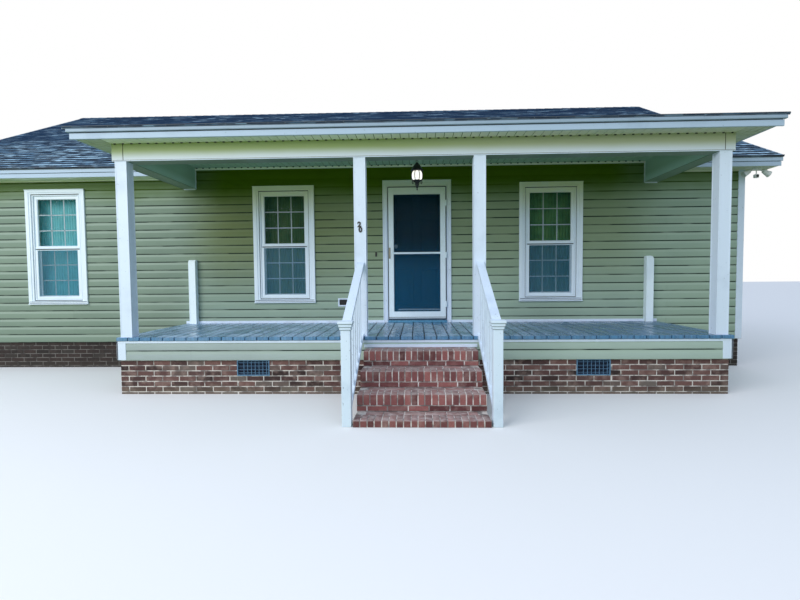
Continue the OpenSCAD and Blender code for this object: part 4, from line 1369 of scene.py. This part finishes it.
def window_unit(shape, screens, place):
    """A double-hung window with nine panes to a sash. It faces -Y at y = 0."""
    half, x = WINDOW_W / 2, WINDOW_W / 2 - WINDOW_SIDE
    low, high = WINDOW_LOW + WINDOW_FOOT, WINDOW_HIGH - WINDOW_HEAD
    mid = (low + high) / 2
    shape.at = place
    shape.ring(-half, half, WINDOW_LOW, WINDOW_HIGH, CASING, VINYL,
               (WINDOW_SIDE, WINDOW_FOOT, WINDOW_HEAD))
    shape.ring(-x, x, low, high, JAMB, VINYL)
    # Painted shade: a dark slot between the casing and the jamb, and a dark strip under the head.
    shape.ring(-x, x, low, high, SLOT, DARK)
    shape.block((-x - 0.004, -0.022, high - 0.004), (x + 0.004, 0.0, high + 0.012), DARK, 0.001)
    shape.ring(-x + 0.027, x - 0.027, low + 0.027, mid - 0.032, SCREEN_FRAME, VINYL, (1, 1, 0.25))
    for reach, base, outline in (
            (half + 0.004, WINDOW_LOW, [
                (0, -0.004), (-0.044, -0.002), (-0.046, 0.006), (-0.03, 0.014), (0, 0.014)]),
            (half - 0.03, WINDOW_LOW, [
                (0, 0.050), (-0.042, 0.046), (-0.043, 0.053), (-0.02, 0.06), (0.03, 0.06)]),
            (half, WINDOW_HIGH, [
                (0, -0.01), (-0.044, -0.01), (-0.046, -0.004), (-0.044, 0.001), (0, 0.006)]),
            (0.36, mid, [
                (0.002, -0.018), (-0.004, -0.012), (-0.004, 0.016), (0.004, 0.022),
                (0.02, 0.022), (0.02, -0.018)])):
        shape.along_x(-reach, reach, [(y, base + z) for y, z in outline], VINYL)
    # Painted shadow: two dark lines along the sill.
    for z in (WINDOW_LOW + 0.014, WINDOW_LOW + 0.038):
        shape.block((-half + 0.012, -0.0385, z), (half - 0.012, 0, z + 0.007), SWEEP_AND_SHADOW_LINES, 0.0005)
    # Painted shadow: a dark strip under the meeting rail.
    shape.block((-0.352, 0.001, mid - 0.031), (0.352, 0.02, mid - 0.019), DARK, 0.0005)
    inner = x - 0.075
    for y, z0, z1 in ((0.008, mid - 0.025, high - 0.025), (0.043, low + 0.025, mid + 0.025)):
        shape.at = place @ Matrix.Translation((0, y, 0))
        shape.ring(-x + 0.025, x - 0.025, z0, z1, SASH, VINYL)
        for k in (1, 2):
            across = -inner + 2 * inner * k / 3
            level = z0 + 0.05 + (z1 - z0 - 0.1) * k / 3
            shape.along_z(z0 + 0.046, z1 - 0.046, [(across + u, v) for u, v in SASH_BAR], VINYL)
            shape.along_x(-inner - 0.004, inner + 0.004, [(v, level + u) for u, v in SASH_BAR],
                          VINYL)
    screens.at = place
    screens.block((-x + 0.062, -0.0004, low + 0.062), (x - 0.062, 0.0004, mid - 0.040), SCREEN,
                  0.0001)


WINDOW_PLACES = {
    "front": [facing(x, WALL) for x in WINDOWS],
    "back": [facing(x, BACK, 180) for x in BACK_WINDOWS],
    "side": [facing(END, MIDDLE, 90), facing(-END, MIDDLE, -90)]}


def windows():
    for wall, places in WINDOW_PLACES.items():
        frames, screens = Shape(), Shape()
        for place in places:
            window_unit(frames, screens, place)
        frames.piece(wall + "_window_frames", "window_frame", wall + "_windows")
        screens.piece(wall + "_insect_screens", "vent_metal")


def gathered_curtain(name, place, cloth, folds, phase):
    """A sheer curtain gathered on its rod, hanging in soft upright folds."""
    half, low, high, deep = 0.46, WINDOW_LOW + 0.02, WINDOW_HIGH - 0.03, 0.009
    across, up, rows = folds * 8, 10, []
    for slack in (1 - j / up for j in range(up + 1)):
        rows.append([])
        for t in (i / across for i in range(across + 1)):
            turn = math.tau * folds * (t + 0.012 * math.sin(5 * t + phase) * slack)
            wave = math.sin(turn) + 0.28 * math.sin(2.3 * turn / folds * 7 + phase) * slack
            rows[-1].append(Vector((-half + 2 * half * t,
                                    ROD_IN + deep * (0.65 + 0.35 * slack) * wave,
                                    high - (high - low) * slack)))
    row = across + 1
    mesh = bpy.data.meshes.new(name)
    mesh.from_pydata([place @ point for points in rows for point in points], [], [
        [a, a + 1, a + row + 1, a + row]
        for j in range(up) for a in range(j * row, j * row + across)])
    mesh.materials.append(cloth)
    mesh.shade_smooth()
    curtain = put(name, mesh)
    thick = curtain.modifiers.new("cloth thickness", "SOLIDIFY")
    thick.thickness, thick.offset = 0.0008, 0
    settle(curtain, [], "house")


def curtains():
    places = [place for wall in WINDOW_PLACES.values() for place in wall]
    rods = Shape()
    for place in places:
        rods.at = place @ Matrix.Translation((0, ROD_IN, WINDOW_HIGH - 0.035))
        rods.tube([(-0.5, 0, 0), (0, 0, 0), (0.5, 0, 0)], 0.006, STEEL)
        for x in (-0.49, 0.49):
            rods.block((x - 0.006, -0.036, -0.008), (x + 0.006, 0.007, 0.008), STEEL)
            rods.turned([(0.002, -0.013), (0.010, -0.010), (0.013, 0), (0.010, 0.010),
                         (0.002, 0.013)], STEEL, 12, (x * 1.04, 0, 0), (1, 0, 0))
    rods.piece("curtain_rods", "knob_metal")
    for count, place in enumerate(places, 1):
        cloth = {2: SAGE_CLOTH, 3: MOSS_CLOTH}.get(count, PALE_CLOTH)
        gathered_curtain(f"curtain_{count}", place, cloth, 21 + count % 3, count * 1.7)


# Doors

def door_casing():
    """Casing round the doorway: a rounded edge, a flat board, a step down and a bead.

    Its head is 100 mm deep, and its sides are 73 mm wide."""
    casing = Shape(facing(PORCH, WALL))
    out = [(0, 0), (0, 0.030), (0.004, 0.036), (0.012, 0.038), (0.018, 0.034), (0.022, 0.030),
           (0.058, 0.030), (0.062, 0.026), (0.066, 0.026), (0.073, 0.022), (0.073, 0)]
    feet, heads = ([[(side * (0.53 - u), -v, z + u * fall) for u, v in out] for side in (-1, 1)]
                   for z, fall in ((DECK, 0), (DOOR_TOP, -100 / 73)))
    for rings in (*zip(feet, heads), heads):
        casing.loft(rings, TRIM)
    for side in (-1, 1):
        x0, x1 = sorted((side * 0.457, side * 0.477))
        casing.block((x0, -0.012, DECK), (x1, 0.15, DOOR_HEAD), TRIM)
        # Painted shade: a thin dark strip in the gap beside each jamb.
        x0, x1 = sorted((side * 0.4585, side * 0.4575))
        casing.block((x0, -0.0125, DECK + 0.035), (x1, 0.1, DOOR_HEAD), DARK, 0.0002)
    casing.block((-0.477, -0.012, DOOR_HEAD), (0.477, 0.15, DOOR_HEAD + 0.02), TRIM)
    casing.piece("doorway_casing", "door_frame", "door_jambs", "door_head")
    eased("door_sill", SILL_METAL, 0.002, "door_sill_plate")


def storm_door():
    """The leaf, the beads that hold its two lights, a sweep with strips along its foot and its
    closer.
    """
    eased("storm_door", STORM_FRAME, 0.003, "storm_door_leaf")
    beads = Shape(facing(PORCH, STORM_FACE))
    for z0, z1 in ((0.866, 1.769), (1.789, 2.686)):
        for side, y in ((1, 0.0), (-1, 0.038)):
            beads.ring(-0.365, 0.365, z0, z1, [
                (u, -y - side * v) for u, v in ((0, 0.016), (0, 0.003), (0.002, 0.001),
                                                (0.006, 0.008), (0.006, 0.016))], STORM_FRAME)
    low, high = (corner.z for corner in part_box("storm_door"))
    # The black strip above the sweep and the frame strip is a painted shadow line.
    for z0, z1, out, finish in ((0.001, 0.024, 0.003, SWEEP_AND_SHADOW_LINES), (0.024, 0.036, 0.004, STORM_FRAME),
                                (0.036, 0.045, 0.001, DARK)):
        beads.block((-0.442, -out, low + z0), (0.44, 0.002, low + z1), finish, 0.0004)
    beads.block((-0.43, 0.004, low - 0.0035), (0.43, 0.03, low + 0.002), SWEEP_AND_SHADOW_LINES, 0.0006)
    # Painted shadow: dark lines down the leaf's sides and along its head.
    for x in (-0.4502, 0.4402):
        beads.block((x, -0.0008, low + 0.002), (x + 0.009, 0.001, high - 0.002), DARK, 0.0003)
    beads.block((-0.45, -0.0008, high - 0.013), (0.448, 0.001, high + 0.0002), DARK, 0.0003)
    beads.tube([(-0.30, 0.052, 0.9), (0.1, 0.052, 0.9), (0.36, 0.052, 0.9)], 0.012, STORM_FRAME)
    beads.piece("storm_door_beads", "storm_frame", body="storm_door")


def storm_handle():
    """A slim pull on a long plate, with a thumb button above it."""
    low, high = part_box("storm_door_handle")
    pull = Shape(facing((low.x + high.x) / 2, STORM_FACE, z=(low.z + high.z) / 2))
    pull.block((-0.011, -0.004, -0.085), (0.011, 0, 0.085), BRASS)
    pull.tube([(0, -0.003, -0.055), (0, -0.03, -0.056), (0, -0.044, -0.048), (0, -0.048, -0.02),
               (0, -0.048, 0.018), (0, -0.044, 0.046), (0, -0.03, 0.054), (0, -0.003, 0.055)],
              0.005, BRASS, 12)
    for z, profile in ((-0.071, [(0.007, 0), (0.008, 0.004), (0.006, 0.009), (0.002, 0.010)]),
                       (0.072, [(0.006, 0), (0.006, 0.008), (0.002, 0.009)])):
        pull.turned(profile, BRASS, 16, (0, -0.004, z), (0, -1, 0))
    pull.piece("storm_door_pull", "handle_brass", "storm_door_handle", body="storm_door")


def entry_door():
    """A six-panel door: stiles and rails round panels with raised fields."""
    door = Shape(facing(PORCH, WALL))
    low, high = (corner.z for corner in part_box("entry_door"))
    outer, inner = 0.106, 0.150
    holes = [(x, x + 0.28, z0, z1) for x in (-0.335, 0.055)
             for z0, z1 in ((low + 0.24, low + 0.80), (low + 0.98, low + 1.56),
                            (low + 1.67, high - 0.12))]
    door.block((-0.45, outer + 0.008, low + 0.002), (0.45, inner - 0.008, high - 0.002),
               DOOR_PAINT)
    for x0, x1, z0, z1 in panels(-0.45, 0.45, low, high, holes):
        door.block((x0, outer, z0), (x1, inner, z1), DOOR_PAINT, 0.0003)
    for z in (low + 0.2, low + 0.96, high - 0.3):
        door.turned([(0.006, 0), (0.006, 0.09)], STEEL, 16, (0.459, 0.157, z))
        door.block((0.414, 0.150, z), (0.455, 0.157, z + 0.09), STEEL, 0.001)
    for y, out in ((outer, 1), (inner, -1)):
        door.at = facing(PORCH, WALL + y)
        back, front = sorted((0.002 * out, 0.009 * out))
        for x0, x1, z0, z1 in holes:
            for profile in ([(0, -0.009), (0, 0.0), (0.006, 0.0015), (0.012, -0.004),
                             (0.016, -0.009)],
                            [(0.05, -0.009), (0.075, -0.002), (0.08, -0.002), (0.08, -0.009)]):
                door.ring(x0, x1, z0, z1, [(u, v * out) for u, v in profile], DOOR_PAINT)
            door.block((x0 + 0.078, back, z0 + 0.078), (x1 - 0.078, front, z1 - 0.078),
                       DOOR_PAINT, 0.0005)
    door.piece("entry_door_leaf", "door_paint", "entry_door", body="entry_door")
    knob = eased("entry_door_knob", KNOB, 0.0005, "entry_knob_turned")
    knob.data.shade_smooth()


# Small fittings

def lantern():
    """A glazed lantern on a loop, with a flared cap and a scrolled crown under it."""
    low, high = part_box("porch_lantern")
    centre = Matrix.Translation(((low.x + high.x) / 2, (low.y + high.y) / 2, low.z))
    lamp, top = Shape(centre), high.z - low.z
    for sides, profile in (
            (32, [(0.008, top - 0.026), (0.020, top - 0.024), (0.050, top - 0.010),
                  (0.055, top - 0.006), (0.055, top)]),
            (32, [(0.010, 0.372), (0.020, 0.368), (0.024, 0.358), (0.042, 0.338),
                  (0.054, 0.318), (0.078, 0.282), (0.086, 0.274), (0.086, 0.267),
                  (0.080, 0.261), (0.060, 0.256)]),
            (32, [(0.060, 0.138), (0.062, 0.132), (0.052, 0.122), (0.040, 0.112)]),
            (24, [(0.002, 0.0), (0.007, 0.006), (0.010, 0.016), (0.006, 0.026),
                  (0.012, 0.036), (0.018, 0.046), (0.014, 0.056), (0.022, 0.064),
                  (0.028, 0.076), (0.022, 0.090), (0.030, 0.104), (0.042, 0.116)])):
        lamp.turned(profile, IRON, sides)
    lamp.tube([(0, 0, 0.40), (0, 0, 0.48), (0, 0, top - 0.02)], 0.0045, IRON)
    lamp.tube([(0.015 * math.cos(a), 0, 0.390 + 0.02 * math.sin(a))
               for a in (*circle(16), math.tau)], 0.003, IRON, 8)
    barrel = [(0.054, 0.131), (0.066, 0.146), (0.073, 0.166), (0.0755, 0.195), (0.073, 0.224),
              (0.064, 0.246), (0.056, 0.258)]
    lamp.loft([[(rib * math.cos(a), rib * math.sin(a), h)
                for a in circle(96) for rib in [r + 0.0018 * math.cos(24 * a)]]
               for r, h in barrel], LAMP)
    for turn in circle(8, 0.5):
        lamp.at = centre @ Matrix.Rotation(turn, 4, "Z")
        lamp.tube([(r + 0.005, 0, h) for r, h in barrel], 0.0055, IRON, 8)
        lamp.tube([(0.056, 0, 0.132), (0.070, 0, 0.120), (0.074, 0, 0.104), (0.064, 0, 0.092),
                   (0.052, 0, 0.096), (0.054, 0, 0.108), (0.062, 0, 0.108)], 0.003, IRON, 8)
    lamp.piece("porch_lantern_glazed", "lantern_metal", "porch_lantern")


def security_light():
    """Two lamp heads on swivels and a sensor under a round plate."""
    lamp = Shape(Matrix.Translation((END + 0.09, WALL - 0.15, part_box("security_light")[1].z)))
    lamp.turned([(0.050, -0.026), (0.055, -0.022), (0.056, -0.006), (0.056, 0.0)], LAMP_SHELL, 32)
    aim = math.radians(118)
    for side in (-1, 1):
        root, towards = (side * 0.034, 0, -0.02), (side * math.sin(aim), 0, math.cos(aim))
        for sides, profile in (
                (16, [(0.009, 0), (0.009, 0.030), (0.013, 0.034), (0.013, 0.046), (0.009, 0.05),
                      (0.009, 0.075)]),
                (24, [(0.018, 0.066), (0.026, 0.070), (0.030, 0.090), (0.046, 0.168),
                      (0.048, 0.174), (0.044, 0.175), (0.036, 0.162)])):
            lamp.turned(profile, LAMP_SHELL, sides, root, towards)
    lamp.tube([(0, 0, -0.02), (0, 0, -0.1)], 0.007, LAMP_SHELL)
    lamp.block((-0.028, -0.028, -0.15), (0.028, 0.028, -0.098), LAMP_SHELL, 0.006)
    lamp.turned([(0.020, 0.0), (0.018, 0.006), (0.010, 0.011), (0.002, 0.012)], DARK, 20,
                (0, -0.028, -0.125), (0, -1, 0))
    lamp.piece("security_lamps", "lamp_shell", "security_light")


def mail_slot():
    slot = Shape(facing(MAIL_SLOT, WALL))
    slot.ring(-0.085, 0.085, 0.955, 1.085, [
        (0, 0), (0, 0.018), (0.003, 0.022), (0.018, 0.022), (0.023, 0.014), (0.023, 0)], TRIM)
    slot.block((-0.064, -0.008, 0.976), (0.064, 0.0, 1.064), DARK, 0.001)
    slot.block((-0.058, -0.012, 0.986), (0.058, -0.007, 1.052), DARK, 0.0015)
    slot.piece("mail_slot_frame", "trim", "mail_slot")


def door_bell():
    bell = Shape(facing(PORCH - 0.639, WALL - 0.013, z=DECK + 1.065))
    bell.block((-0.013, -0.012, -0.035), (0.013, 0, 0.035), IRON, 0.004)
    bell.turned([(0.007, 0.0), (0.007, 0.003), (0.005, 0.004), (0.001, 0.0045)], DARK, 16,
                (0, -0.012, 0), (0, -1, 0))
    bell.piece("door_bell", "lantern_metal")


def house_number():
    """Two plain figures on the column left of the steps."""
    for name, figure, x, z in (("upper_figure", "2", -0.685, 1.305),
                               ("lower_figure", "0", -0.673, 1.243)):
        text = bpy.data.curves.new(name, "FONT")
        text.body, text.size, text.extrude, text.offset = figure, 0.084, 0.0015, 0.0045
        text.align_x = "CENTER"
        mesh = solid_mesh(put(name + "_text", text))
        merge(mesh)
        number = Shape(axes((PORCH + x, PORCH_FRONT - 0.0015, DECK + z),
                            (1, 0, 0), (0, 0, 1), (0, -1, 0)))
        number.take(mesh, IRON)
        number.piece(name, "lantern_metal")


# The frame's own solids

def paint_nodes():
    """Gives the solids that stay in view their finishes."""
    wearing = {
        LINING: ["front_wall_left", "front_wall_right", "wall_over_door", "back_wall",
                 "left_wall", "right_wall"],
        SIDING: ["porch_skirt"], FLOOR_WOOD: ["floor"], CEILING: ["ceiling"],
        PANE: ["window_glass"], DOOR_PANE: ["storm_door_glass"]}
    for finish, names in wearing.items():
        for name in names:
            coat(nodes[name].data, finish)


# Stage, light and camera

def plainly_seen(tree):
    """1 for what the camera sees, straight or in metal and glass, and 0 for other light."""
    seen = tree.node("ShaderNodeLightPath")
    return seen["Is Camera Ray"].most(seen["Is Glossy Ray"]).most(seen["Is Transmission Ray"])


def stage():
    """A pale floor, which throws a mossy light up at what stands on it."""
    ground = Finish("studio_floor", roughness=0.9)
    ground.set(base_color=ground.mix(plainly_seen(ground), card(108, 130, 76),
                                     card(240, 241, 242)))
    mesh = bpy.data.meshes.new("studio_floor")
    mesh.from_pydata([(-90, -90, 0), (90, -90, 0), (90, 90, 0), (-90, 90, 0)], [],
                     [(0, 1, 2, 3)])
    mesh.materials.append(ground.material)
    put("studio_floor", mesh)


def daylight():
    """A soft sky all round and two broad lamps in front."""
    world = bpy.data.worlds.new("studio")
    world.use_nodes = True
    scene.world = world
    sky = Tree(world.node_tree)
    direct = plainly_seen(sky)
    back = sky.tree.nodes["Background"]
    sky.fill(back.inputs["Color"], sky.mix(direct, card(216, 230, 250), card(255, 255, 255)))
    sky.fill(back.inputs["Strength"], 0.92 + direct * 0.08)
    for name, place, size, power, colour in (
            ("key", (-9.0, -16.0, 8.0), 12.0, 1900, (1.0, 0.98, 0.96)),
            ("fill", (9.0, -14.0, 6.0), 10.0, 60, (0.92, 0.96, 1.0))):
        lamp = bpy.data.lights.new(name, "AREA")
        lamp.size, lamp.energy, lamp.color = size, power, colour
        holder = put(name, lamp)
        holder.location = place
        aim = Vector((0.5, -2.5, 1.5)) - Vector(place)
        holder.rotation_euler = aim.to_track_quat("-Z", "Y").to_euler()


def camera():
    """Stands where the photograph was taken, with its slight turn, tilt and roll."""
    yaw, pitch, roll = -0.0347, 0.0460, -0.0087
    ahead = Vector((math.sin(yaw) * math.cos(pitch), math.cos(yaw) * math.cos(pitch),
                    -math.sin(pitch)))
    level = Vector((math.cos(yaw), -math.sin(yaw), 0))
    above = level.cross(ahead)
    right = level * math.cos(roll) + above * math.sin(roll)
    top = above * math.cos(roll) - level * math.sin(roll)
    lens = bpy.data.cameras.new("camera")
    lens.lens = 21.52
    holder = put("camera", lens)
    holder.matrix_world = axes((1.452, -10.3625, 1.3947), right, top, -ahead)
    scene.camera = holder


scene.view_settings.view_transform = "Standard"
for build in (camera, daylight, stage, paint_nodes, brickwork, steps, crawl_vents, siding,
              porch_skirt, base_strips, roofs, eaves, porch_eaves, porch_ceiling, beams, deck,
              columns, woodwork, windows, curtains, door_casing, storm_door, storm_handle,
              entry_door, lantern, security_light, mail_slot, door_bell, house_number):
    build()
for block in blocks:
    bpy.data.objects.remove(block)
